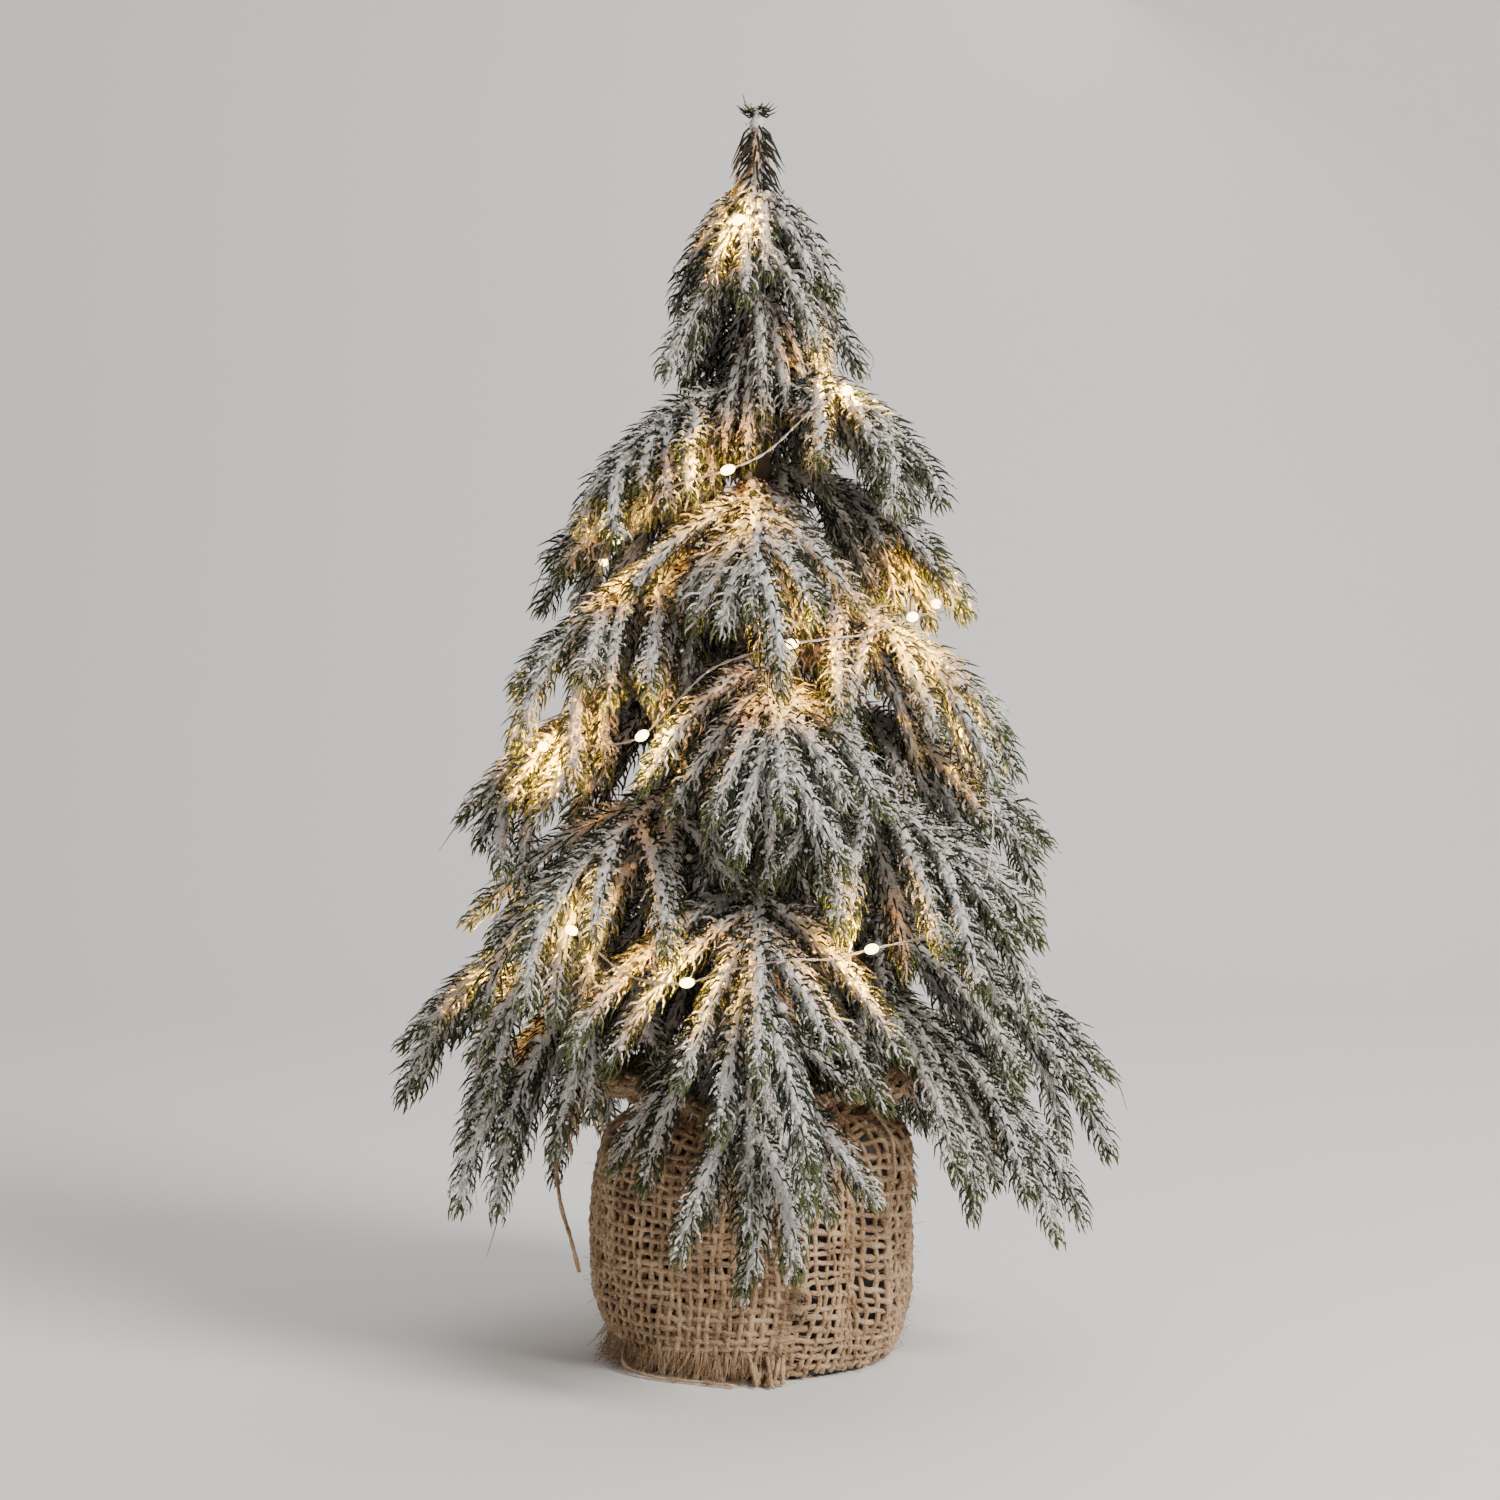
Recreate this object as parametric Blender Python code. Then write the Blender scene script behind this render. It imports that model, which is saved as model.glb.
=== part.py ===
"""Pre-lit, flocked tabletop tree: a weighted pot in a tied hessian wrap, a taped trunk, wire-cored branches
that bend at the trunk, one wound light string, and a battery case under the pot. Metres, +Z up, origin under the
trunk."""

import math
import random

import bmesh
import bpy
import numpy as np
from mathutils import Matrix, Vector

# ---- driving dimensions ---------------------------------------------------------------------------------
GAP = 0.0003                # air between two pieces that touch on the real tree

TRUNK_TOP = 0.416
LEADER_RISE = 0.034         # from the trunk's top to the star of needles on the leader
TREE_TOP = TRUNK_TOP + LEADER_RISE
ROD_R = 0.0030              # steel rod in the trunk
ROD_FOOT = 0.034            # bottom end of the rod, in the cast weight
ROD_TOP = TRUNK_TOP - 0.004
TAPE_R = 0.0052             # paper tape wound on the rod
TAPE_TOP = TRUNK_TOP - 0.042
TAPE_TAPER = 0.074          # length of the tape's narrower top part
SOCKET_WALL = 0.0020
SOCKET_DEPTH = 0.031        # how far the moulded top's socket reaches down the rod
SOCKET_R = ROD_R + GAP + SOCKET_WALL
STAR_R = 0.0045

POT_BELLY_R = 0.0505        # the foot is as wide as the battery bay needs, see the case below
POT_BELLY_Z = 0.050
POT_RIM_R = 0.0485
POT_RIM_Z = 0.072
POT_WALL = 0.0020
WEB_Z = 0.0270              # underside of the shelf that parts the battery bay from the weight
WEB_THICK = 0.0020
FOOT_RING = 0.0030          # width of the ring that the pot stands on
BAY_CLEAR = 0.0011          # air between the battery case's corners and that ring

WEIGHT_NECK_R = 0.0325      # the cast weight rises out of the pot and narrows where the cloth is tied
WEIGHT_NECK_Z = 0.0880

CLOTH_GAP = 0.0005
TIE_EASE = 0.0010           # the cloth is slack by this much under the tie
CLOTH_THICK = 0.0024        # folded and overlapped hessian
HEM_Z = 0.0010
TIE_Z = 0.0890
COLLAR_R = 0.0680
COLLAR_Z = 0.0850           # drooping edge of the collar
COLLAR_TOP_Z = 0.0980
TWINE_R = 0.0014
KNOT_R = 0.0032
KNOT_TURN = -48.0           # degrees round the neck

PIVOT_R = 0.0080            # where a branch bends, measured from the trunk's axis
STEM_R = 0.0013             # bare wired stem
CORE_R = 0.0034             # dense middle of a needle spray
TIP_R = 0.0008

CELL_R = 0.00710            # AA cells
CELL_LENGTH = 0.0492
NUB_R = 0.0027
NUB_LENGTH = 0.0012
CASE_WALL = 0.0016
CASE_TOP_Z = WEB_Z - GAP
CASE_DEPTH = 0.0200
SWITCH_BAY = 0.0110
CONTACT_ROOM = 0.0035       # space for a contact at each end of a cell
DOOR_THICK = 0.0015
HINGE_R = 0.0014
SWITCH_TRAVEL = 0.0040
KNOB_SIDE = 0.0030
SCREW_R = 0.0014
SCREW_HEAD_R = 0.0027
EAR = 0.0062                # the case's two ears, one on each long side
EAR_THICK = 0.0020

WIRE_R = 0.0006             # two fine strands, twisted
LAMP_R = 0.0021             # cast resin drop
LAMP_LENGTH = 0.0052
LEAD_DUCT_R = 0.0024

# Each tier of branches: name, how far its pivots stand up the trunk between the first tier and the last, how many
# branches, turn of the first one (degrees), length of the leading shoot, and its slope in degrees where it leaves
# the trunk and at its tip.
FIRST_TIER_Z = 0.147
LAST_TIER_Z = TRUNK_TOP - 0.060
TIERS = (
    ("skirt", 0.000, 5, -90.0, 0.129, -6.0, -70.0),
    ("lower", 0.110, 4, 0.0, 0.138, -4.0, -50.0),
    ("broad", 0.292, 4, 45.0, 0.128, -6.0, -52.0),
    ("middle", 0.474, 4, 8.0, 0.115, -6.0, -52.0),
    ("upper", 0.656, 3, -26.0, 0.106, -8.0, -52.0),
    ("high", 0.828, 3, -90.0, 0.090, -10.0, -54.0),
    ("crown", 1.000, 3, -150.0, 0.074, -14.0, -58.0),
)
# Side shoots of a branch: how far along it they start, their turn and rise in degrees, their length against
# what is left of the branch. Turns are for a tier of four branches.
SIDE_SHOOTS = (
    (0.22, -47.0, 5.0, 0.90),
    (0.30, 44.0, -5.0, 0.92),
    (0.44, -31.0, -7.0, 0.94),
    (0.52, 34.0, 7.0, 0.90),
)
STAGGER = 0.022             # climb of the pivots round one tier, so that the branches lie in a loose spiral
WOBBLE = 3.0                # degrees by which a shoot strays from the rule
SHOOT_SEED = 45

# The drooping shoots of the moulded top: height above the trunk's top, turn, length, slope at the start and at
# the tip.
TOP_SHOOTS = (
    (0.004, -100.0, 0.050, -48.0, -78.0),
    (0.001, -10.0, 0.046, -44.0, -72.0),
    (-0.002, 75.0, 0.048, -46.0, -76.0),
    (0.002, 165.0, 0.050, -44.0, -74.0),
    (-0.018, -52.0, 0.052, -36.0, -70.0),
    (-0.021, 22.0, 0.054, -32.0, -66.0),
    (-0.017, 118.0, 0.052, -36.0, -70.0),
    (-0.022, -146.0, 0.056, -34.0, -68.0),
)

# The light string's way up the tree: turn in degrees, distance from the trunk's axis, height, and whether a lamp
# sits there. It leaves the battery case, climbs beside the trunk and is then wound round the branches.
STRING_ROUTE = (
    (180.0, 0.0255, 0.0164, False),
    (180.0, 0.0255, 0.0600, False),
    (180.0, 0.0250, 0.0900, False),
    (180.0, 0.0115, 0.1060, False),
    (190.0, 0.0115, 0.1500, False),
    (200.0, 0.0150, 0.1840, False),
    (196.0, 0.0500, 0.1700, False),
    (193.0, 0.0900, 0.1440, True),
    (212.0, 0.0960, 0.1560, False),
    (229.0, 0.0960, 0.1600, True),
    (242.0, 0.0960, 0.1470, False),
    (256.0, 0.0970, 0.1450, True),
    (276.0, 0.0960, 0.1500, False),
    (294.0, 0.0940, 0.1550, True),
    (318.0, 0.0960, 0.1640, False),
    (330.0, 0.0940, 0.1980, False),
    (334.0, 0.0820, 0.2320, True),
    (358.0, 0.0860, 0.2330, False),
    (20.0, 0.0880, 0.2320, True),
    (45.0, 0.0890, 0.2300, False),
    (70.0, 0.0890, 0.2280, True),
    (95.0, 0.0890, 0.2260, False),
    (118.0, 0.0890, 0.2250, True),
    (145.0, 0.0880, 0.2240, False),
    (168.0, 0.0870, 0.2230, True),
    (190.0, 0.0860, 0.2220, False),
    (209.0, 0.0850, 0.2210, True),
    (226.0, 0.0850, 0.2220, False),
    (242.0, 0.0830, 0.2260, True),
    (258.0, 0.0780, 0.2480, False),
    (279.0, 0.0740, 0.2570, True),
    (300.0, 0.0730, 0.2600, False),
    (318.0, 0.0720, 0.2660, True),
    (345.0, 0.0700, 0.2680, False),
    (14.0, 0.0680, 0.2710, True),
    (50.0, 0.0670, 0.2750, False),
    (84.0, 0.0660, 0.2790, True),
    (118.0, 0.0650, 0.2820, False),
    (152.0, 0.0640, 0.2860, True),
    (184.0, 0.0630, 0.2900, False),
    (215.0, 0.0600, 0.2930, True),
    (238.0, 0.0560, 0.3060, False),
    (259.0, 0.0500, 0.3150, True),
    (288.0, 0.0450, 0.3300, False),
    (318.0, 0.0420, 0.3450, True),
    (352.0, 0.0420, 0.3560, False),
    (50.0, 0.0390, 0.3680, False),
    (120.0, 0.0340, 0.3800, False),
    (190.0, 0.0270, 0.3930, False),
    (256.0, 0.0200, 0.4040, True),
)
STRING_STEP = 0.015         # distance between the points of the wound string
ROUND = 32                  # sides of the pot, and of what fits in it and round it
AROUND = 6                  # sides of a shoot
LEADER_RUNS = 5             # straight runs in a leading shoot and in a side shoot
SIDE_RUNS = 3


# ---- what the pieces are made of ------------------------------------------------------------------------
def finish(name, colour, roughness, metallic=0.0):
    """A Principled material."""
    made = bpy.data.materials.new(name)
    made.use_nodes = True
    shader = made.node_tree.nodes["Principled BSDF"]
    shader.inputs["Base Color"].default_value = (*colour, 1.0)
    shader.inputs["Roughness"].default_value = roughness
    shader.inputs["Metallic"].default_value = metallic
    return made


# ---- modelling helpers ----------------------------------------------------------------------------------
def add(name, mesh, material, origin=(0.0, 0.0, 0.0)):
    """Puts a mesh that is in world coordinates into the scene, with its origin at the given point."""
    mesh.transform(Matrix.Translation(-Vector(origin)))
    mesh.name = name
    mesh.materials.clear()
    mesh.materials.append(material)
    mesh.shade_smooth()
    mesh.set_sharp_from_angle(angle=math.radians(35))
    made = bpy.data.objects.new(name, mesh)
    made.location = origin
    bpy.context.scene.collection.objects.link(made)
    return made


def to_mesh(bm):
    """Frees a bmesh into a new mesh, with its doubles merged and its faces pointing out."""
    bmesh.ops.remove_doubles(bm, verts=bm.verts, dist=1e-6)
    bmesh.ops.recalc_face_normals(bm, faces=bm.faces)
    mesh = bpy.data.meshes.new("piece")
    bm.to_mesh(mesh)
    bm.free()
    return mesh


def turned(profile, steps, axis=(0.0, 0.0, 1.0), centre=(0.0, 0.0, 0.0)):
    """A turned solid about an upright axis. An outline that starts and ends on the axis stays open there."""
    bm = bmesh.new()
    points = [bm.verts.new((r, 0.0, z)) for r, z in profile]
    on_axis = profile[0][0] == 0.0 and profile[-1][0] == 0.0
    pairs = list(zip(points, points[1:])) + ([] if on_axis else [(points[-1], points[0])])
    edges = [bm.edges.new(pair) for pair in pairs]
    bmesh.ops.spin(bm, geom=points + edges, axis=(0, 0, 1), cent=(0, 0, 0), dvec=(0, 0, 0),
                   angle=math.tau, steps=steps, use_merge=True)
    turn = Vector((0, 0, 1)).rotation_difference(Vector(axis)).to_matrix().to_4x4()
    bmesh.ops.transform(bm, verts=bm.verts, matrix=Matrix.Translation(centre) @ turn)
    return to_mesh(bm)


def block(low, high, bevel=0.0):
    """A box between two corners."""
    bm = bmesh.new()
    low, high = Vector(low), Vector(high)
    size = high - low
    place = Matrix.Translation((low + high) / 2) @ Matrix.Diagonal((*size, 1.0))
    bmesh.ops.create_cube(bm, size=1.0, matrix=place)
    if bevel:
        bmesh.ops.bevel(bm, geom=bm.edges[:], offset=bevel, offset_type="OFFSET", segments=1, profile=0.5,
                        affect="EDGES", material=-1)
    return to_mesh(bm)


def tube(points, radii, sides=AROUND):
    """A round bar along points, with a radius at each."""
    curve = bpy.data.curves.new("bar", "CURVE")
    curve.dimensions = "3D"
    curve.bevel_depth = 1.0
    curve.bevel_resolution = sides // 2 - 2
    curve.use_fill_caps = True
    spline = curve.splines.new("POLY")
    spline.points.add(len(points) - 1)
    for spot, point, radius in zip(spline.points, points, radii):
        spot.co = (*point, 1.0)
        spot.radius = radius
    holder = bpy.data.objects.new("bar", curve)
    bpy.context.scene.collection.objects.link(holder)
    mesh = bpy.data.meshes.new_from_object(holder.evaluated_get(bpy.context.evaluated_depsgraph_get()))
    bpy.data.objects.remove(holder)
    bpy.data.curves.remove(curve)
    bm = bmesh.new()
    bm.from_mesh(mesh)
    bpy.data.meshes.remove(mesh)
    return to_mesh(bm)


def combined(first, others, operation="UNION"):
    """The first mesh joined with the others, or with them cut away."""
    scene = bpy.context.scene.collection
    base = bpy.data.objects.new("base", first)
    scene.objects.link(base)
    tools = bpy.data.collections.new("tools")
    scene.children.link(tools)
    for mesh in others:
        tools.objects.link(bpy.data.objects.new("tool", mesh))
    step = base.modifiers.new("combine", "BOOLEAN")
    step.operation = operation
    step.solver = "EXACT"
    step.operand_type = "COLLECTION"
    step.collection = tools
    mesh = bpy.data.meshes.new_from_object(base.evaluated_get(bpy.context.evaluated_depsgraph_get()))
    for tool in list(tools.objects):
        bpy.data.objects.remove(tool)
    bpy.data.collections.remove(tools)
    bpy.data.objects.remove(base)
    return mesh


# ---- how the tree grows ---------------------------------------------------------------------------------
def heading(turn, slope):
    """The direction that points round the trunk by turn and up by slope, both in degrees."""
    a, e = math.radians(turn), math.radians(slope)
    return Vector((math.cos(a) * math.cos(e), math.sin(a) * math.cos(e), math.sin(e)))


def bent_path(start, turn, length, slope, tip_slope, steps):
    """Points along a shoot that leaves start at one slope and bends evenly to another."""
    points = [Vector(start)]
    for n in range(steps):
        part = (n + 0.5) / steps
        points.append(points[-1] + heading(turn, slope + (tip_slope - slope) * part) * (length / steps))
    return points


def point_at(points, part):
    """The point a given part of the way along evenly spaced points."""
    at = part * (len(points) - 1)
    n = min(int(at), len(points) - 2)
    return points[n].lerp(points[n + 1], at - n)


def branch_plan():
    """Every branch as its name, pivot, turn, and shoots, the leading one first."""
    stray = random.Random(SHOOT_SEED)
    plan = []
    for tier, part_up, count, first, length, slope, tip_slope in TIERS:
        height = FIRST_TIER_Z + (LAST_TIER_Z - FIRST_TIER_Z) * part_up
        for n in range(count):
            turn = first + n * 360.0 / count
            if tier != "lower":                 # the lower tier's leading shoots are the tree's full width
                turn += stray.uniform(-WOBBLE, WOBBLE)
            climb = STAGGER * ((n + 0.5) / count - 0.5)
            pivot = heading(turn, 0.0) * PIVOT_R + Vector((0.0, 0.0, height + climb))
            leader = bent_path(pivot, turn, length, slope, tip_slope, LEADER_RUNS)
            shoots = [leader]
            for part, side_turn, rise, share in SIDE_SHOOTS:
                swing = side_turn * (4.0 / count) ** 0.8 + stray.uniform(-WOBBLE, WOBBLE)
                own_slope = slope + (tip_slope - slope) * part + rise + stray.uniform(-WOBBLE, WOBBLE)
                end_slope = tip_slope + stray.uniform(-2.0 * WOBBLE, WOBBLE)
                own_length = length * (1.0 - part) * share * stray.uniform(0.94, 1.04)
                shoots.append(bent_path(point_at(leader, part), turn + swing, own_length, own_slope,
                                        end_slope, SIDE_RUNS))
            plan.append((f"branch_{tier}_{n + 1}", pivot, turn, shoots))
    return plan


def top_plan():
    """The shoots of the moulded top. Each starts in the wall of its socket."""
    return [
        bent_path(heading(turn, 0.0) * (SOCKET_R - 0.0004) + Vector((0.0, 0.0, TRUNK_TOP + rise)), turn, length,
                  slope, tip_slope, SIDE_RUNS)
        for rise, turn, length, slope, tip_slope in TOP_SHOOTS
    ]


def thickness(part, starts_at_trunk):
    """A shoot's core radius along it: a thin stem, a full spray and a fine tip."""
    if starts_at_trunk:
        rise = min(1.0, max(0.0, (part - 0.12) / 0.22))
    else:
        rise = min(1.0, 0.45 + part / 0.35)
    full = STEM_R + (CORE_R - STEM_R) * rise
    return full if part < 0.8 else full + (TIP_R - full) * ((part - 0.8) / 0.2) ** 1.5


def shoot_mesh(points, starts_at_trunk):
    radii = [thickness(n / (len(points) - 1), starts_at_trunk) for n in range(len(points))]
    return tube(points, radii)


# ---- how the light string lies --------------------------------------------------------------------------
def along(points, step):
    """Points at even distances along a Catmull-Rom curve through the given ones, and the places of those among
    them."""
    fine, marks = [], []
    ends = [2 * points[0] - points[1], *points, 2 * points[-1] - points[-2]]
    for a, b, c, d in zip(ends, ends[1:], ends[2:], ends[3:]):
        marks.append(len(fine))
        count = max(1, round((c - b).length / step))
        for n in range(count):
            t = n / count
            fine.append(0.5 * ((2 * b) + (c - a) * t + (2 * a - 5 * b + 4 * c - d) * t * t
                               + (3 * b - a - 3 * c + d) * t ** 3))
    marks.append(len(fine))
    return [*fine, points[-1]], marks


def closest(p, q, a, b):
    """Of two straight runs, the places where they pass closest, and the gap from the second to the first."""
    u, v, w = q - p, b - a, p - a
    uu, uv, vv, uw, vw = (u * u).sum(-1), (u * v).sum(-1), (v * v).sum(-1), (u * w).sum(-1), (v * w).sum(-1)
    bottom = np.maximum(uu * vv - uv * uv, 1e-12)
    s = np.clip((uv * vw - vv * uw) / bottom, 0.0, 1.0)
    t = np.clip((uv * s + vw) / np.maximum(vv, 1e-12), 0.0, 1.0)
    s = np.clip((uv * t - uw) / np.maximum(uu, 1e-12), 0.0, 1.0)
    return s, (p + u * s[..., None]) - (a + v * t[..., None])


def string_path(branches, top):
    """The wound string's points, eased clear of every shoot that it passes, and the places of its lamps."""
    route = [heading(turn, 0.0) * out + Vector((0.0, 0.0, z)) for turn, out, z, lamp in STRING_ROUTE]
    points, marks = along(route, STRING_STEP)
    lamps = [mark for mark, stop in zip(marks, STRING_ROUTE) if stop[3]]
    line = np.array(points, float)
    runs = [pair for _, _, _, shoots in branches for shoot in shoots for pair in zip(shoot, shoot[1:])]
    runs += [pair for shoot in top for pair in zip(shoot, shoot[1:])]
    starts, ends = (np.array([pair[n] for pair in runs], float) for n in (0, 1))
    room = np.full(len(line), WIRE_R)
    room[lamps] = LAMP_R
    held = marks[2] + 1                             # the run inside the pot keeps its place
    for _ in range(400):
        p, q = line[:-1, None], line[1:, None]
        s, apart = closest(p, q, starts[None], ends[None])
        gap = np.linalg.norm(apart, axis=-1)
        need = np.maximum(room[:-1], room[1:])[:, None] + CORE_R + 3 * GAP
        short = np.clip(need - gap, 0.0, None)
        if not short[held:].any():
            break
        push = apart / np.maximum(gap, 1e-9)[..., None] * (short * 0.35)[..., None]
        moved = np.zeros_like(line)
        np.add.at(moved, np.arange(len(line) - 1), (push * (1 - s)[..., None]).sum(1))
        np.add.at(moved, np.arange(1, len(line)), (push * s[..., None]).sum(1))
        moved[:held] = 0.0
        line += moved
    return [Vector(point) for point in line], lamps


# ---- the pieces -----------------------------------------------------------------------------------------
def pot_outline():
    """The pot's outside, from its foot to its rim."""
    return [
        (POT_FOOT_R, 0.0),
        (POT_FOOT_R + 0.0025, 0.0010),
        (POT_BELLY_R - 0.0022, 0.0110),
        (POT_BELLY_R, POT_BELLY_Z * 0.6),
        (POT_BELLY_R, POT_BELLY_Z),
        (POT_RIM_R, POT_RIM_Z),
    ]


def pot_radius(z):
    """The pot's outside radius at a height."""
    radii, heights = zip(*pot_outline())
    return float(np.interp(z, heights, radii))


def make_pot(material):
    """A cup for the weight over a bay for the battery case, with holes that its screws bite into."""
    outside = pot_outline()
    inside = [(r - POT_WALL, z) for r, z in reversed(outside) if z > WEB_Z + WEB_THICK]
    inner_r = POT_BELLY_R - 2 * POT_WALL
    profile = [
        *outside,
        *inside,
        (inner_r, WEB_Z + WEB_THICK),
        (0.0, WEB_Z + WEB_THICK),
        (0.0, WEB_Z),
        (inner_r, WEB_Z),
        (inner_r - 0.0010, 0.0120),
        (BAY_R, 0.0010),
        (BAY_R, 0.0),
    ]
    bm = bmesh.new()
    points = [bm.verts.new((r, 0.0, z)) for r, z in profile]
    edges = [bm.edges.new(pair) for pair in zip(points, points[1:]) if pair[0].co.x or pair[1].co.x]
    edges.append(bm.edges.new((points[-1], points[0])))
    bmesh.ops.spin(bm, geom=points + edges, axis=(0, 0, 1), cent=(0, 0, 0), dvec=(0, 0, 0), angle=math.tau,
                   steps=ROUND, use_merge=True)
    shell = to_mesh(bm)
    holes = [turned([(0.0, WEB_Z - 0.002), (SCREW_R + GAP, WEB_Z - 0.002), (SCREW_R + GAP, WEB_Z + 0.0012),
                     (0.0, WEB_Z + 0.0012)], 12, centre=(0.0, y, 0.0)) for y in screw_places()]
    return add("pot", combined(shell, [*holes, lead_duct(WEB_Z - 0.001, WEB_Z + 0.004)], "DIFFERENCE"), material)


def lead_duct(low, high):
    """The round hole that the lead passes up through."""
    turn, out, _, _ = STRING_ROUTE[0]
    return turned([(0.0, low), (LEAD_DUCT_R, low), (LEAD_DUCT_R, high), (0.0, high)], 12,
                  centre=heading(turn, 0.0) * out)


def make_weight(material):
    """Cast plaster that fills the pot round the rod, with a duct for the lead."""
    low = WEB_Z + WEB_THICK + GAP
    side = [(r - POT_WALL - GAP, z) for r, z in pot_outline() if z > low]
    profile = [
        (0.0, low),
        (POT_BELLY_R - 2 * POT_WALL - 2 * GAP, low),
        *side,
        (POT_RIM_R - POT_WALL - 0.006, POT_RIM_Z + 0.008),
        (WEIGHT_NECK_R, WEIGHT_NECK_Z - 0.003),
        (WEIGHT_NECK_R - 0.004, WEIGHT_NECK_Z),
        (0.0, WEIGHT_NECK_Z),
    ]
    bore = turned([(0.0, ROD_FOOT - GAP), (ROD_R + GAP, ROD_FOOT - GAP), (ROD_R + GAP, TREE_TOP),
                   (0.0, TREE_TOP)], 16)
    tools = [bore, lead_duct(0.0, TREE_TOP)]
    return add("cast_weight", combined(turned(profile, ROUND), tools, "DIFFERENCE"), material)


def make_trunk(steel, paper):
    """The rod, and the tape wound on it above the weight."""
    rod = turned([(0.0, ROD_FOOT), (ROD_R, ROD_FOOT), (ROD_R, ROD_TOP), (0.0, ROD_TOP)], 12)
    add("trunk_rod", rod, steel)
    low = WEIGHT_NECK_Z + GAP
    tape = turned([(ROD_R + GAP, low), (TAPE_R, low), (TAPE_R, TAPE_TOP - TAPE_TAPER),
                   (TAPE_R * 0.8, TAPE_TOP - 0.002), (ROD_R + GAP, TAPE_TOP)], 12)
    add("trunk_tape", tape, paper)


def cloth_outline():
    """The cloth's inner face, from its hem up over the pot, in at the tie and out into the collar."""
    body = [(r + CLOTH_GAP, max(z, HEM_Z)) for r, z in pot_outline()]
    body[0] = (pot_radius(HEM_Z) + CLOTH_GAP, HEM_Z)
    body[1] = (pot_radius(HEM_Z + 0.0030) + 2 * CLOTH_GAP, HEM_Z + 0.0030)
    tie_r = WEIGHT_NECK_R + CLOTH_GAP + TIE_EASE
    return [
        *body,
        (POT_RIM_R - 0.0040, POT_RIM_Z + 0.009),
        (tie_r, TIE_Z - 0.003),
        (tie_r, TIE_Z + 0.003),
        (tie_r + 0.012, COLLAR_TOP_Z - 0.0025),
        (tie_r + 0.024, COLLAR_TOP_Z - 0.0030),
        (COLLAR_R - CLOTH_THICK, COLLAR_Z + 0.010),
        (COLLAR_R - CLOTH_THICK, COLLAR_Z),
    ]


def thickened(path, thick):
    """A closed outline: the path, and back along it a thickness further to its right."""
    back = []
    for n, here in enumerate(path):
        before, after = Vector(path[max(n - 1, 0)]), Vector(path[min(n + 1, len(path) - 1)])
        run = (after - before).normalized()
        back.append((here[0] + run.y * thick, here[1] - run.x * thick))
    return [*path, *reversed(back)]


def make_wrap(material):
    """The hessian wrap, as the plain turned shell that it fills."""
    path = cloth_outline()
    closed = thickened(path, CLOTH_THICK)
    outer = [(r, max(z, HEM_Z)) for r, z in closed[len(path):]]
    return add("hessian_wrap", turned([*path, *outer], ROUND), material)


def make_twine(material):
    """The jute tie round the neck of the cloth, with its two ends hanging from the knot."""
    ring_r = WEIGHT_NECK_R + CLOTH_GAP + TIE_EASE + CLOTH_THICK + TWINE_R + 4 * GAP
    round_wire = [(ring_r + TWINE_R * math.cos(a), TIE_Z + TWINE_R * math.sin(a))
                  for a in (math.tau * n / 6 for n in range(6))]
    knot_at = heading(KNOT_TURN, 0.0) * (ring_r + KNOT_R + GAP / 2) + Vector((0, 0, TIE_Z))
    knot = turned([(0.0, -0.003), (KNOT_R * 0.7, -0.002), (KNOT_R, 0.0), (KNOT_R * 0.7, 0.002), (0.0, 0.003)], 8,
                  centre=knot_at)
    return add("twine_tie", combined(turned(round_wire, 28), [knot]), material)


def make_branch(name, pivot, shoots, material):
    """One wired branch of needle sprays. It bends where it is bound to the trunk, at its origin."""
    leader, *sides = shoots
    mesh = combined(shoot_mesh(leader, True), [shoot_mesh(side, False) for side in sides])
    return add(name, mesh, material, origin=pivot)


def make_top(shoots, material):
    """The moulded top: a socket on the trunk, the leader with its star, and a skirt of drooping shoots."""
    star_z = TREE_TOP - 0.003
    low = TRUNK_TOP - SOCKET_DEPTH
    leader = turned([
        (0.0, ROD_TOP + GAP), (ROD_R + GAP, ROD_TOP + GAP), (ROD_R + GAP, low), (SOCKET_R, low),
        (SOCKET_R, TRUNK_TOP), (0.0032, TRUNK_TOP + 0.008), (0.0022, TREE_TOP - 0.010), (0.0015, star_z),
        (0.0, TREE_TOP)], 12)
    star = turned([(0.0, star_z - 0.0025), (STAR_R, star_z - 0.0005), (STAR_R, star_z), (0.0, star_z + 0.001)], 8)
    return add("top_sprig", combined(leader, [star, *[shoot_mesh(shoot, False) for shoot in shoots]]), material)


# The battery case: cells side by side along X, the switch bay at the -X end.
CELL_Y = CELL_R + 0.0004
ROOM_X = CELL_LENGTH + 2 * CONTACT_ROOM + GAP       # the cells' compartment
ROOM_Y = 4 * CELL_R + 0.0020
CASE_LENGTH = ROOM_X + SWITCH_BAY + 3 * CASE_WALL
CASE_WIDTH = ROOM_Y + 2 * CASE_WALL
CASE_LOW_X = -CASE_LENGTH / 2
ROOM_LOW_X = CASE_LOW_X + 2 * CASE_WALL + SWITCH_BAY
ROOM_HIGH_X = ROOM_LOW_X + ROOM_X
CASE_LOW_Z = CASE_TOP_Z - CASE_DEPTH
DOOR_LOW_Z = CASE_LOW_Z - DOOR_THICK - GAP
CELL_Z = CASE_TOP_Z - CASE_WALL - CELL_R - 0.0008
HINGE_X = ROOM_HIGH_X + CASE_WALL / 2
HINGE_Z = CASE_LOW_Z - HINGE_R * 0.2
KNOB_X = CASE_LOW_X + CASE_WALL + SWITCH_BAY / 2
BAY_R = math.hypot(CASE_LENGTH / 2, CASE_WIDTH / 2) + BAY_CLEAR
POT_FOOT_R = BAY_R + FOOT_RING


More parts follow.
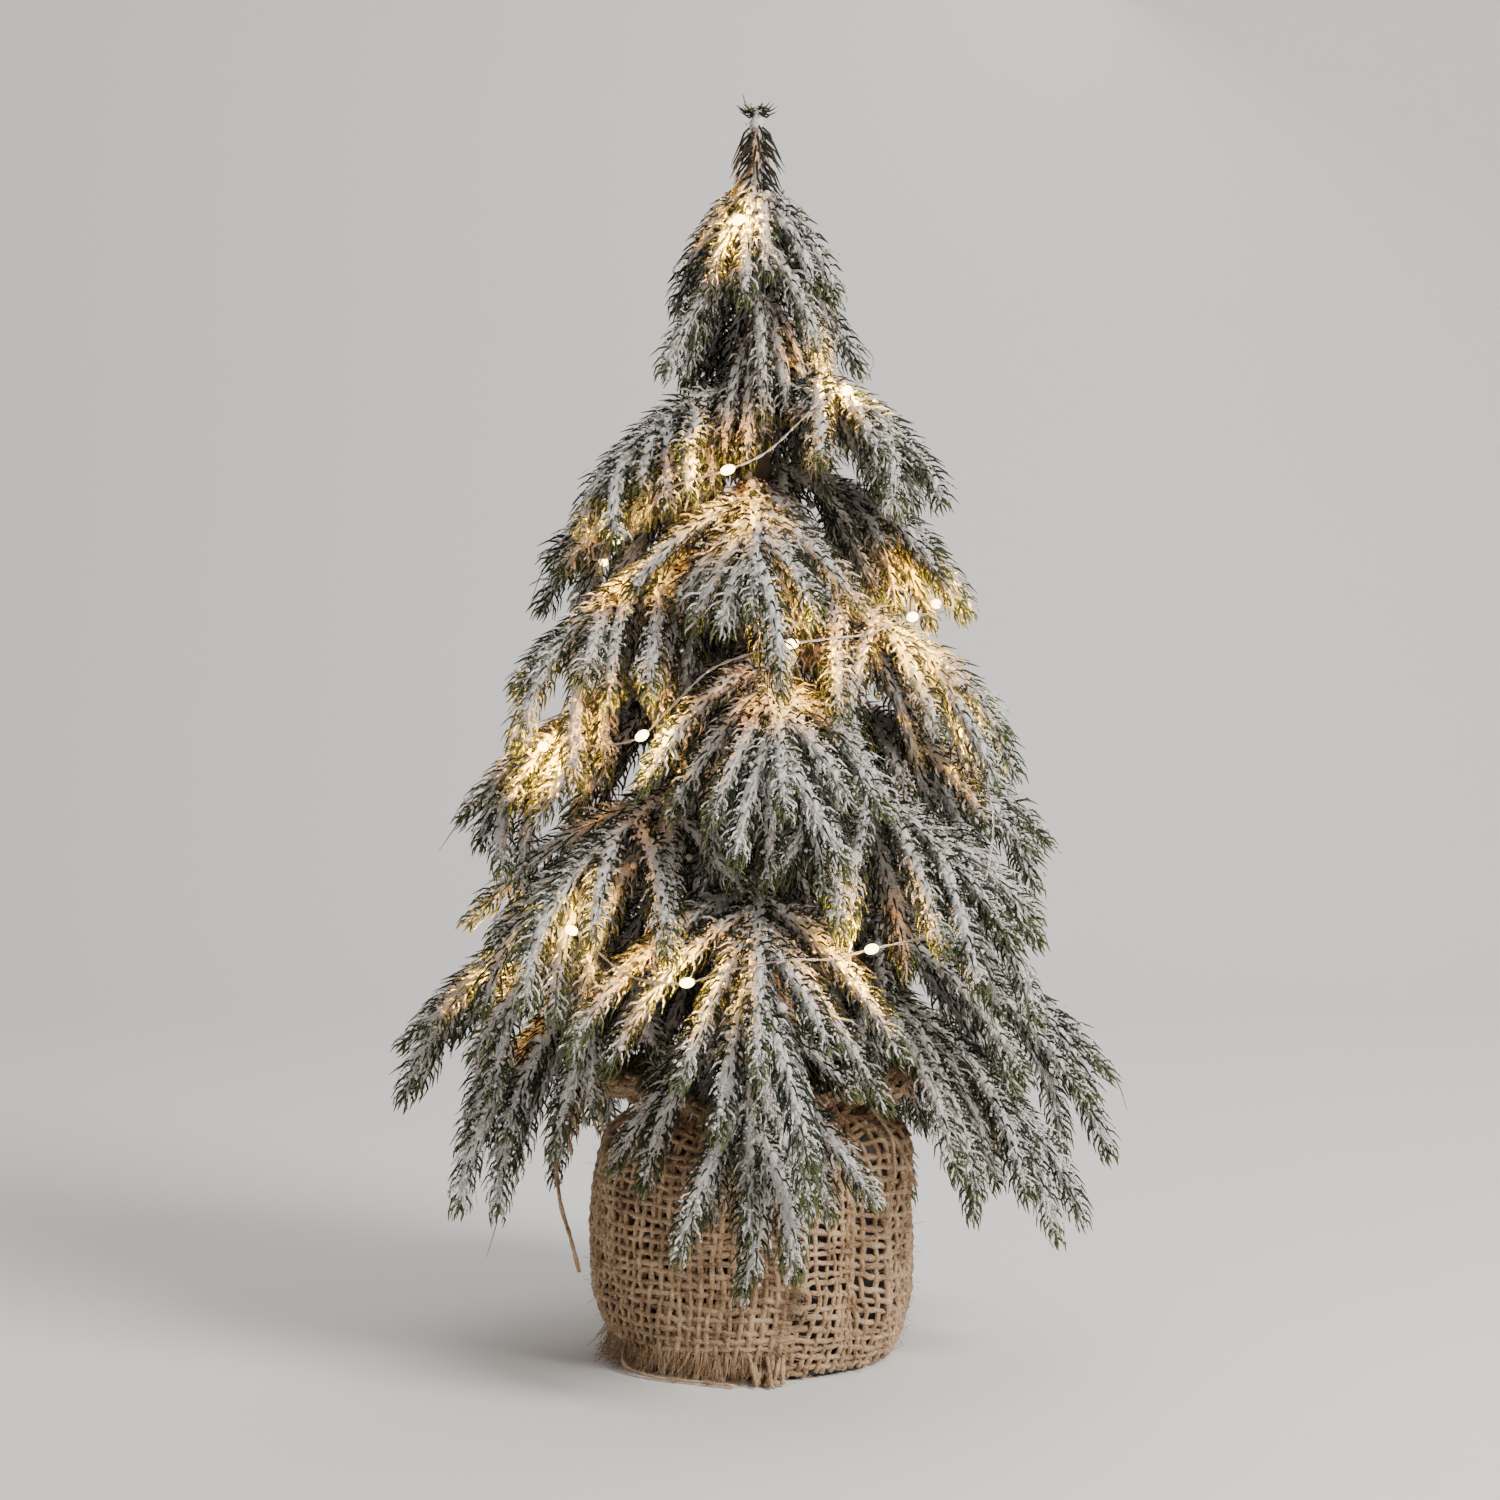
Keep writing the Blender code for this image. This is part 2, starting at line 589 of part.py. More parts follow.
def screw_places():
    """Where the case's two screws stand, along Y."""
    return (-CASE_WIDTH / 2 - EAR / 2, CASE_WIDTH / 2 + EAR / 2)


def make_case(material):
    """The open case with its ears, the wall that parts the cells from the switch bay, and the hinge's seat."""
    half = CASE_WIDTH / 2
    shell = block((CASE_LOW_X, -half, CASE_LOW_Z), (CASE_LOW_X + CASE_LENGTH, half, CASE_TOP_Z))
    ears = [block((-EAR / 2, y - EAR / 2 - 0.0005, CASE_TOP_Z - EAR_THICK),
                  (EAR / 2, y + EAR / 2 + 0.0005, CASE_TOP_Z)) for y in screw_places()]
    ceiling = CASE_TOP_Z - CASE_WALL
    room = block((ROOM_LOW_X, -ROOM_Y / 2, CASE_LOW_Z - 0.001), (ROOM_HIGH_X, ROOM_Y / 2, ceiling))
    bay = block((CASE_LOW_X + CASE_WALL, -ROOM_Y / 2, CASE_LOW_Z + CASE_WALL),
                (CASE_LOW_X + CASE_WALL + SWITCH_BAY, ROOM_Y / 2, ceiling))
    slot = block((KNOB_X - KNOB_SIDE / 2 - GAP, -KNOB_SIDE / 2 - SWITCH_TRAVEL - GAP, CASE_LOW_Z - 0.001),
                 (KNOB_X + KNOB_SIDE / 2 + GAP, KNOB_SIDE / 2 + GAP, CASE_LOW_Z + CASE_WALL + 0.001))
    seat_r = HINGE_R + GAP
    seat = turned([(0.0, -ROOM_Y / 2), (seat_r, -ROOM_Y / 2), (seat_r, ROOM_Y / 2), (0.0, ROOM_Y / 2)], 16,
                  axis=(0, 1, 0), centre=(HINGE_X, 0.0, HINGE_Z))
    swing = block((HINGE_X - 0.0040, -ROOM_Y / 2, CASE_LOW_Z - 0.001),
                  (HINGE_X + 0.0040, ROOM_Y / 2, CASE_LOW_Z + 0.0012))
    holes = [turned([(0.0, 0.0), (SCREW_R + GAP, 0.0), (SCREW_R + GAP, 0.1), (0.0, 0.1)], 12,
                    centre=(0.0, y, 0.0)) for y in screw_places()]
    tools = [room, bay, slot, seat, swing, *holes, lead_duct(ceiling - 0.001, 0.1)]
    return add("battery_case", combined(combined(shell, ears), tools, "DIFFERENCE"), material)


def make_door(material):
    """The door under the cells. It hangs on a round bar at its +X end and snaps shut at the other."""
    half = CASE_WIDTH / 2
    panel = block((ROOM_LOW_X - CASE_WALL * 0.6, -half, DOOR_LOW_Z), (HINGE_X, half, DOOR_LOW_Z + DOOR_THICK))
    length = ROOM_Y - 4 * GAP
    bar = turned([(0.0, -length / 2), (HINGE_R, -length / 2), (HINGE_R, length / 2), (0.0, length / 2)], 16,
                 axis=(0, 1, 0), centre=(HINGE_X, 0.0, HINGE_Z))
    tongue = block((ROOM_LOW_X + GAP, -0.004, DOOR_LOW_Z + DOOR_THICK / 2),
                   (ROOM_LOW_X + 0.0012, 0.004, CASE_LOW_Z + 0.0022))
    grip = block((ROOM_LOW_X + 0.002, -0.006, DOOR_LOW_Z - 0.0006),
                 (ROOM_LOW_X + 0.0035, 0.006, DOOR_LOW_Z + DOOR_THICK / 2))
    return add("battery_door", combined(panel, [bar, tongue, grip]), material,
               origin=(HINGE_X, 0.0, HINGE_Z))


def make_screws(material):
    """The screws that hold the case up under the pot's shelf."""
    head_z = CASE_TOP_Z - EAR_THICK - GAP
    for name, y in zip(("case_screw_1", "case_screw_2"), screw_places()):
        body = turned([
            (0.0, head_z - 0.0018), (SCREW_HEAD_R * 0.7, head_z - 0.0018), (SCREW_HEAD_R, head_z - 0.0008),
            (SCREW_HEAD_R, head_z), (SCREW_R, head_z), (SCREW_R, WEB_Z + 0.0006), (0.0, WEB_Z + 0.0010)],
            12, centre=(0.0, y, 0.0))
        slot = block((-0.0018, y - 0.0003, head_z - 0.0020), (0.0018, y + 0.0003, head_z - 0.0012))
        add(name, combined(body, [slot], "DIFFERENCE"), material)


def make_cells(material):
    """Two cells, head to tail."""
    start = ROOM_LOW_X + CONTACT_ROOM
    for name, y, way in (("cell_1", CELL_Y, 1.0), ("cell_2", -CELL_Y, -1.0)):
        foot = (start if way > 0 else start + CELL_LENGTH, y, CELL_Z)
        shoulder = CELL_LENGTH - NUB_LENGTH
        body = turned([
            (0.0, 0.0), (CELL_R - 0.0005, 0.0), (CELL_R, 0.0005), (CELL_R, shoulder - 0.0005),
            (CELL_R - 0.0005, shoulder), (NUB_R, shoulder), (NUB_R, CELL_LENGTH), (0.0, CELL_LENGTH)],
            20, axis=(way, 0, 0), centre=foot)
        add(name, body, material)


def spring(x, y, way):
    """A conical contact spring that stands on a plate at x and reaches the way of the cell."""
    reach = CONTACT_ROOM - 0.0006 - 2 * GAP
    turns, per_turn, wire = 2.5, 10, 0.0003
    points, count = [], int(turns * per_turn)
    for n in range(count + 1):
        part = n / count
        a = math.tau * turns * part
        out = 0.0040 - 0.0022 * part
        points.append((x + way * (wire / 3 + (reach - wire) * part), y + out * math.cos(a),
                       CELL_Z + out * math.sin(a)))
    return tube(points, [wire] * len(points), 6)


def make_contacts(material):
    """A bridge with one spring at the hinge end, and at the switch end a spring plate and a plain plate."""
    high = ROOM_HIGH_X - GAP
    low = ROOM_LOW_X + GAP
    tall = CELL_R - 0.0012
    bridge = block((high - 0.0006, -CELL_Y - 0.005, CELL_Z - tall), (high, CELL_Y + 0.005, CELL_Z + tall))
    add("bridge_contact", combined(bridge, [spring(high - 0.0006, -CELL_Y, -1.0)]), material)
    minus = block((low, CELL_Y - 0.005, CELL_Z - tall), (low + 0.0006, CELL_Y + 0.005, CELL_Z + tall))
    add("spring_contact", combined(minus, [spring(low + 0.0006, CELL_Y, 1.0)]), material)
    plain = block((low, -CELL_Y - 0.005, CELL_Z - tall), (low + 0.0006, -CELL_Y + 0.005, CELL_Z + tall))
    boss = turned([(0.0, 0.0), (0.0030, 0.0), (0.0022, 0.0018), (0.0, 0.0018)], 10, axis=(1, 0, 0),
                  centre=(low + 0.0005, -CELL_Y, CELL_Z))
    add("plate_contact", combined(plain, [boss]), material)


def make_switch(board_material, steel, knob_material):
    """The timer board, and the slide switch on it. Its knob stands in the slot in the case's floor."""
    board_z = CASE_LOW_Z + CASE_WALL + 0.0062
    clear = 0.0005
    board = block((CASE_LOW_X + CASE_WALL + clear, -ROOM_Y / 2 + clear, board_z),
                  (CASE_LOW_X + CASE_WALL + SWITCH_BAY - clear, ROOM_Y / 2 - clear, board_z + 0.0012))
    add("timer_board", board, board_material)
    can_low = CASE_LOW_Z + CASE_WALL + 0.0012
    middle = -SWITCH_TRAVEL / 2
    can = block((KNOB_X - 0.0035, middle - 0.0065, can_low), (KNOB_X + 0.0035, middle + 0.0065, board_z - GAP))
    window = block((KNOB_X - KNOB_SIDE / 2 - GAP, -KNOB_SIDE / 2 - SWITCH_TRAVEL - GAP, can_low - 0.001),
                   (KNOB_X + KNOB_SIDE / 2 + GAP, KNOB_SIDE / 2 + GAP, can_low + 0.0026))
    add("switch_can", combined(can, [window], "DIFFERENCE"), steel)
    knob = block((KNOB_X - KNOB_SIDE / 2, -KNOB_SIDE / 2, DOOR_LOW_Z - 0.0006),
                 (KNOB_X + KNOB_SIDE / 2, KNOB_SIDE / 2, can_low + 0.0022), bevel=0.0003)
    add("switch_knob", knob, knob_material, origin=(KNOB_X, 0.0, CASE_LOW_Z))


def make_string(branches, top, material):
    """The fine twisted wire with a cast resin lamp at each stop, from the case's ceiling to the top of the tree."""
    points, lamps = string_path(branches, top)
    wire = tube(points, [WIRE_R] * len(points), 4)
    drops = []
    for n in lamps:
        run = (points[min(n + 1, len(points) - 1)] - points[n - 1]).normalized()
        half = LAMP_LENGTH / 2
        drops.append(turned([(0.0, -half), (LAMP_R, -half * 0.35), (LAMP_R, half * 0.35), (0.0, half)], 6,
                            axis=run, centre=points[n]))
    return add("light_string", combined(wire, drops), material)


def main():
    for old in list(bpy.data.objects):
        bpy.data.objects.remove(old)
    plastic = finish("black_plastic", (0.03, 0.03, 0.032), 0.55)
    plaster = finish("plaster", (0.52, 0.50, 0.47), 0.9)
    steel = finish("steel", (0.60, 0.60, 0.60), 0.35, 1.0)
    paper = finish("paper_tape", (0.10, 0.065, 0.035), 0.85)
    hessian = finish("hessian", (0.36, 0.22, 0.12), 0.95)
    jute = finish("jute_twine", (0.24, 0.14, 0.07), 0.95)
    needles = finish("flocked_needles", (0.22, 0.27, 0.20), 0.85)
    case = finish("case_plastic", (0.70, 0.69, 0.66), 0.45)
    cell = finish("cell_jacket", (0.12, 0.20, 0.32), 0.4, 0.3)
    board = finish("circuit_board", (0.02, 0.16, 0.06), 0.5)
    knob = finish("knob_plastic", (0.05, 0.05, 0.05), 0.5)
    lamp = finish("lamp_resin_and_wire", (0.85, 0.78, 0.60), 0.25)

    make_pot(plastic)
    make_weight(plaster)
    make_trunk(steel, paper)
    make_wrap(hessian)
    make_twine(jute)
    make_case(case)
    make_door(case)
    make_screws(steel)
    make_cells(cell)
    make_contacts(steel)
    make_switch(board, steel, knob)
    branches, top = branch_plan(), top_plan()
    for name, pivot, _, shoots in branches:
        make_branch(name, pivot, shoots, needles)
    make_top(top, needles)
    make_string(branches, top, lamp)


main()
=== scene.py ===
# %% [markdown]
# # A flocked tabletop tree, piece by piece
# The tree stands 45 cm tall: drooping wired branches of moulded needles under grey-white flock, a string of
# micro lights, and a pot in frayed hessian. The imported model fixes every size, so the first cell only loads
# it and keeps its box, which the finished looks may pass only by a little.

# %% Load the frame
import math
import random

import bmesh
import bpy
import numpy as np
from mathutils import Matrix, Vector, noise


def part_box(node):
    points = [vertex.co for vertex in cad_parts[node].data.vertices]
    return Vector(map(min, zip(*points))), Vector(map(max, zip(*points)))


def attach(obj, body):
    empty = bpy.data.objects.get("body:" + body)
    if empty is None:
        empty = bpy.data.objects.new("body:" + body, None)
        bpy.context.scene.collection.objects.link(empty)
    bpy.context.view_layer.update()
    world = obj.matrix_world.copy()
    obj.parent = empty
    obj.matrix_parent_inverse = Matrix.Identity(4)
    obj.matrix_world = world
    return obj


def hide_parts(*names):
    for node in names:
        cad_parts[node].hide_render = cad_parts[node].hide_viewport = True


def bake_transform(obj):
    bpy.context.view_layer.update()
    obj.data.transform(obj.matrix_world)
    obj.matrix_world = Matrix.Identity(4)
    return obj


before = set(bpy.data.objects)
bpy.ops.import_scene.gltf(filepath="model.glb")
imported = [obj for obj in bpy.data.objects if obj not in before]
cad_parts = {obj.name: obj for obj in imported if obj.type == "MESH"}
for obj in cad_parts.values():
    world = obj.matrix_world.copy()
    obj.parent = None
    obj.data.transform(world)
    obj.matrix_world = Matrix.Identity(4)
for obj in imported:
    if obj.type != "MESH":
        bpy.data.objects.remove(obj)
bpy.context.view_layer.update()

# %% [markdown]
# ## How the branches grow
# Every branch follows one rule: tiers of branches climb the trunk in a loose spiral, and each has a leading
# shoot that bends evenly downwards, with side shoots leaving it in turn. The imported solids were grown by
# the same rule, so it is written out here again and then measured against their boxes.

# %% The rule, in metres and degrees
PIVOT_R, CORE_R = 0.0080, 0.0034                # where a branch bends, and a shoot's moulded core
ROD_R, GAP, TRUNK_TOP, TREE_TOP = 0.0030, 0.0003, 0.416, 0.450
SOCKET_R = ROD_R + GAP + 0.0020
FIRST_TIER_Z, LAST_TIER_Z = 0.147, TRUNK_TOP - 0.060
TIERS = (           # name, share of the way up, branches, first turn, length, slopes at trunk and tip
    ("skirt", 0.000, 5, -90.0, 0.129, -6.0, -70.0),
    ("lower", 0.110, 4, 0.0, 0.138, -4.0, -50.0),
    ("broad", 0.292, 4, 45.0, 0.128, -6.0, -52.0),
    ("middle", 0.474, 4, 8.0, 0.115, -6.0, -52.0),
    ("upper", 0.656, 3, -26.0, 0.106, -8.0, -52.0),
    ("high", 0.828, 3, -90.0, 0.090, -10.0, -54.0),
    ("crown", 1.000, 3, -150.0, 0.074, -14.0, -58.0),
)
SIDE_SHOOTS = (     # where on the leader, turn, rise, length against what is left of the leader
    (0.22, -47.0, 5.0, 0.90),
    (0.30, 44.0, -5.0, 0.92),
    (0.44, -31.0, -7.0, 0.94),
    (0.52, 34.0, 7.0, 0.90),
)
STAGGER = 0.022     # climb of one tier's branches
WOBBLE = 3.0        # degrees by which a shoot strays from the rule
SHOOT_SEED = 45
LEADER_RUNS, SIDE_RUNS = 5, 3
TOP_SHOOTS = (      # height above the trunk's top, turn, length, slopes at the start and at the tip
    (0.004, -100.0, 0.050, -48.0, -78.0),
    (0.001, -10.0, 0.046, -44.0, -72.0),
    (-0.002, 75.0, 0.048, -46.0, -76.0),
    (0.002, 165.0, 0.050, -44.0, -74.0),
    (-0.018, -52.0, 0.052, -36.0, -70.0),
    (-0.021, 22.0, 0.054, -32.0, -66.0),
    (-0.017, 118.0, 0.052, -36.0, -70.0),
    (-0.022, -146.0, 0.056, -34.0, -68.0),
)


def heading(turn, slope):
    a, e = math.radians(turn), math.radians(slope)
    return Vector((math.cos(a) * math.cos(e), math.sin(a) * math.cos(e), math.sin(e)))


def bent_path(start, turn, length, slope, tip_slope, steps):
    points = [Vector(start)]
    for n in range(steps):
        part = (n + 0.5) / steps
        points.append(points[-1] + heading(turn, slope + (tip_slope - slope) * part) * (length / steps))
    return points


def point_at(points, part):
    at = part * (len(points) - 1)
    n = min(int(at), len(points) - 2)
    return points[n].lerp(points[n + 1], at - n)


def branch_plan():
    stray = random.Random(SHOOT_SEED)
    plan = []
    for tier, part_up, count, first, length, slope, tip_slope in TIERS:
        height = FIRST_TIER_Z + (LAST_TIER_Z - FIRST_TIER_Z) * part_up
        for n in range(count):
            turn = first + n * 360.0 / count
            if tier != "lower":
                turn += stray.uniform(-WOBBLE, WOBBLE)
            climb = STAGGER * ((n + 0.5) / count - 0.5)
            pivot = heading(turn, 0.0) * PIVOT_R + Vector((0.0, 0.0, height + climb))
            leader = bent_path(pivot, turn, length, slope, tip_slope, LEADER_RUNS)
            shoots = [leader]
            for part, side_turn, rise, share in SIDE_SHOOTS:
                swing = side_turn * (4.0 / count) ** 0.8 + stray.uniform(-WOBBLE, WOBBLE)
                own_slope = slope + (tip_slope - slope) * part + rise + stray.uniform(-WOBBLE, WOBBLE)
                end_slope = tip_slope + stray.uniform(-2.0 * WOBBLE, WOBBLE)
                own_length = length * (1.0 - part) * share * stray.uniform(0.94, 1.04)
                shoots.append(bent_path(point_at(leader, part), turn + swing, own_length, own_slope,
                                        end_slope, SIDE_RUNS))
            plan.append((f"branch_{tier}_{n + 1}", pivot, turn, shoots))
    return plan


def top_plan():
    plan = []
    for rise, turn, length, slope, tip_slope in TOP_SHOOTS:
        start = heading(turn, 0.0) * (SOCKET_R - 0.0004) + Vector((0.0, 0.0, TRUNK_TOP + rise))
        plan.append(bent_path(start, turn, length, slope, tip_slope, SIDE_RUNS))
    return plan


def outside_box(name, points):
    """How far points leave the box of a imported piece, in millimetres."""
    low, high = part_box(name)
    gaps = [max(low[n] - point[n], point[n] - high[n]) for point in points for n in range(3)]
    return 1000.0 * max(0.0, *gaps)


branches, top_shoots = branch_plan(), top_plan()
worst = max(outside_box(name, sum(shoots, [])) for name, _, _, shoots in branches)
print(f"{len(branches)} branches; the rule leaves their solids' boxes by {worst:.2f} mm at most")

# %% [markdown]
# ## Materials
# Effects that several finishes share are node groups: a fine speckle for flock and fibre, and a soft change
# of tone over centimetres. They read Object coordinates, so they stay put on every piece.

# %% Helpers for node trees
def node(tree, kind, place=(0, 0), **settings):
    made = tree.nodes.new(kind)
    made.location = place
    for key, value in settings.items():
        setattr(made, key, value)
    return made


def maths(tree, operation, a, b=None, clamp=False):
    """A Math node's output. a and b are numbers or sockets."""
    made = node(tree, "ShaderNodeMath", operation=operation, use_clamp=clamp)
    for n, value in enumerate((a, b)):
        if isinstance(value, (int, float)):
            made.inputs[n].default_value = value
        elif value is not None:
            tree.links.new(value, made.inputs[n])
    return made.outputs[0]


def mixed(tree, part, a, b, blend="MIX"):
    """A colour Mix node's output. a and b are colours or sockets."""
    made = node(tree, "ShaderNodeMix", data_type="RGBA", blend_type=blend)
    if isinstance(part, (int, float)):
        made.inputs["Factor"].default_value = part
    else:
        tree.links.new(part, made.inputs["Factor"])
    for socket, value in ((made.inputs[6], a), (made.inputs[7], b)):
        if isinstance(value, tuple):
            socket.default_value = (*value, 1.0)
        else:
            tree.links.new(value, socket)
    return made.outputs[2]


def ramped(tree, value, low, high, start=0.0, end=1.0, kind="SMOOTHSTEP"):
    """A Map Range node's output: start up to low, and end from high on."""
    made = node(tree, "ShaderNodeMapRange", interpolation_type=kind)
    for label, number in (("From Min", low), ("From Max", high), ("To Min", start), ("To Max", end)):
        made.inputs[label].default_value = number
    tree.links.new(value, made.inputs["Value"])
    return made.outputs["Result"]


def effect(name, inputs, outputs):
    """A shader node group with named sockets, and its two ends."""
    group = bpy.data.node_groups.new(name, "ShaderNodeTree")
    for label, kind, value in inputs:
        socket = group.interface.new_socket(label, in_out="INPUT", socket_type=kind)
        socket.default_value = value
    for label, kind in outputs:
        group.interface.new_socket(label, in_out="OUTPUT", socket_type=kind)
    return group, node(group, "NodeGroupInput"), node(group, "NodeGroupOutput")


def placed(tree, group, **values):
    """The group placed in a tree, with its own values."""
    made = node(tree, "ShaderNodeGroup")
    made.node_tree = group
    for key, value in values.items():
        made.inputs[key.replace("_", " ")].default_value = value
    return made


def speckle_group():
    """Fine grains over a slow drift of tone."""
    group, start, end = effect(
        "speckle",
        [("Grains per metre", "NodeSocketFloat", 900.0), ("Drift per metre", "NodeSocketFloat", 30.0)],
        [("Grain", "NodeSocketFloat"), ("Drift", "NodeSocketFloat")])
    place = node(group, "ShaderNodeTexCoord").outputs["Object"]
    for label, detail, source in (("Grain", 2.0, "Grains per metre"), ("Drift", 1.0, "Drift per metre")):
        cloud = node(group, "ShaderNodeTexNoise", noise_dimensions="3D")
        cloud.inputs["Detail"].default_value = detail
        group.links.new(place, cloud.inputs["Vector"])
        group.links.new(start.outputs[source], cloud.inputs["Scale"])
        group.links.new(cloud.outputs["Fac"], end.inputs[label])
    return group


def finish(name, colour, roughness, metallic=0.0, **more):
    """A material with a Principled shader, and that shader."""
    made = bpy.data.materials.new(name)
    made.use_nodes = True
    shader = made.node_tree.nodes["Principled BSDF"]
    shader.inputs["Base Color"].default_value = (*colour, 1.0)
    shader.inputs["Roughness"].default_value = roughness
    shader.inputs["Metallic"].default_value = metallic
    for key, value in more.items():
        shader.inputs[key.replace("_", " ")].default_value = value
    return made, shader


def bump(tree, shader, height, distance, strength=0.6):
    made = node(tree, "ShaderNodeBump")
    made.inputs["Strength"].default_value = strength
    made.inputs["Distance"].default_value = distance
    tree.links.new(height, made.inputs["Height"])
    tree.links.new(made.outputs["Normal"], shader.inputs["Normal"])


SPECKLE = speckle_group()
print("effects", [group.name for group in bpy.data.node_groups])

# %% [markdown]
# ### Needles and flock
# Moulded needles are dark green, yellower towards a shoot's tip. Flock is sprayed on and glued: it is
# thickest on the stem and on the upper side of each needle, and leaves the ends bare. Each needle carries
# its own amounts as attributes, so one material serves every spray.

# %% Flocked needle material
DARK_GREEN, YOUNG_GREEN, SHADED_GREEN = (0.016, 0.028, 0.014), (0.095, 0.115, 0.034), (0.017, 0.014, 0.010)
FLOCK_WHITE, FLOCK_SHADE = (0.87, 0.85, 0.81), (0.36, 0.29, 0.24)
UPPER_SIDE, TO_ITS_POINT, GRAINY, PATCHY = 0.14, -0.80, 1.7, 0.5    # what each adds to a needle's own flock
BARE_BELOW, COVERED_ABOVE = 1.16, 1.34


def attribute(tree, name):
    return node(tree, "ShaderNodeAttribute", attribute_name=name).outputs["Fac"]


def flocked_needles():
    """Green, and white where the flock adds up to enough."""
    made, shader = finish("flocked_needles", DARK_GREEN, 0.85, Specular_IOR_Level=0.25)
    tree = made.node_tree
    grains = placed(tree, SPECKLE, Grains_per_metre=1500.0, Drift_per_metre=160.0)
    flock, young, shade, along = (attribute(tree, name) for name in ("flock", "young", "shade", "along"))
    yellowed = maths(tree, "MULTIPLY", young, maths(tree, "ADD", 0.35, along), clamp=True)
    # shade mixes towards darker, browner colours: painted shade deep in the tree, over a random change of
    # tone
    green = mixed(tree, yellowed, mixed(tree, shade, DARK_GREEN, SHADED_GREEN), YOUNG_GREEN)
    white = mixed(tree, shade, FLOCK_WHITE, FLOCK_SHADE)
    facing = node(tree, "ShaderNodeSeparateXYZ")
    tree.links.new(node(tree, "ShaderNodeNewGeometry").outputs["Normal"], facing.inputs[0])
    cover = flock
    for source, share in ((facing.outputs["Z"], UPPER_SIDE), (along, TO_ITS_POINT),
                          (grains.outputs["Grain"], GRAINY), (grains.outputs["Drift"], PATCHY)):
        cover = maths(tree, "ADD", cover, maths(tree, "MULTIPLY", source, share))
    covered = ramped(tree, cover, BARE_BELOW, COVERED_ABOVE)
    tree.links.new(mixed(tree, covered, green, white), shader.inputs["Base Color"])
    rough = maths(tree, "ADD", maths(tree, "MULTIPLY", covered, 0.35), 0.55)
    tree.links.new(rough, shader.inputs["Roughness"])
    bump(tree, shader, grains.outputs["Grain"], 0.0005)
    return made


NEEDLES = flocked_needles()

# %% [markdown]
# ## A needle, a crumb of flock and a lump
# All three are repeated many times, so they have only a few faces. The needle is a three-sided cone, cut
# across once and curved, with an attribute that runs from 0 at its foot to 1 at its point. Crumbs are the
# clots of flock on the stems; lumps are the few larger balls of it, and the dark buds.

# %% The small shapes
NEEDLE_FOOT, NEEDLE_POINT = 0.055, 0.012        # radii of a needle one unit long
NEEDLE_CUT, NEEDLE_BELLY, NEEDLE_CURVE = 0.55, 1.35, 0.12


def put(name, data):
    """A mesh, curve, light or camera as an object in the scene."""
    made = bpy.data.objects.new(name, data)
    bpy.context.scene.collection.objects.link(made)
    return made


def smooth_mesh(name, bm):
    mesh = bpy.data.meshes.new(name)
    bm.to_mesh(mesh)
    bm.free()
    mesh.shade_smooth()
    return mesh


def mould(name, bm):
    mesh = smooth_mesh(name, bm)
    mesh.attributes.new("along", "FLOAT", "POINT")
    return put(name, mesh)


def needle_shape():
    bm = bmesh.new()
    bmesh.ops.create_cone(bm, cap_ends=True, segments=3, radius1=NEEDLE_FOOT, radius2=NEEDLE_POINT, depth=1.0,
                          matrix=Matrix.Translation((0, 0, 0.5)))
    bmesh.ops.bisect_plane(bm, geom=bm.verts[:] + bm.edges[:] + bm.faces[:], plane_co=(0, 0, NEEDLE_CUT),
                           plane_no=(0, 0, 1))
    for vert in bm.verts:
        if abs(vert.co.z - NEEDLE_CUT) < 0.15:
            vert.co.x, vert.co.y = vert.co.x * NEEDLE_BELLY, vert.co.y * NEEDLE_BELLY
        vert.co.y += NEEDLE_CURVE * math.sin(math.pi * vert.co.z)
    made = mould("needle", bm)
    for vert, value in zip(made.data.vertices, made.data.attributes["along"].data):
        value.value = vert.co.z
    return made


def crumb_shape():
    bm = bmesh.new()
    bmesh.ops.create_uvsphere(bm, u_segments=4, v_segments=2, radius=1.0)
    for vert in bm.verts:
        vert.co *= 0.85 + 0.5 * noise.noise(vert.co * 2.0 + Vector((3.1, 0.0, 0.0)))
    return mould("crumb", bm)


def lump_shape():
    bm = bmesh.new()
    bmesh.ops.create_icosphere(bm, subdivisions=2, radius=1.0)
    for vert in bm.verts:
        vert.co *= 0.95 + 0.12 * noise.noise(vert.co * 2.5)
    return mould("lump", bm)


MOULDS = needle, crumb, lump = needle_shape(), crumb_shape(), lump_shape()
for shape in MOULDS:
    shape.data.materials.append(NEEDLES)
print("faces", [(shape.name, len(shape.data.polygons)) for shape in MOULDS])

# %% [markdown]
# ## Setting needles along a shoot
# A spray is a cloud of points that know which way their needle points, how long it is and how much flock it
# carries. Geometry Nodes puts a needle on each point, and the result is then made a plain mesh. Placing the
# needles one by one in a loop would give the same picture, but takes far longer.

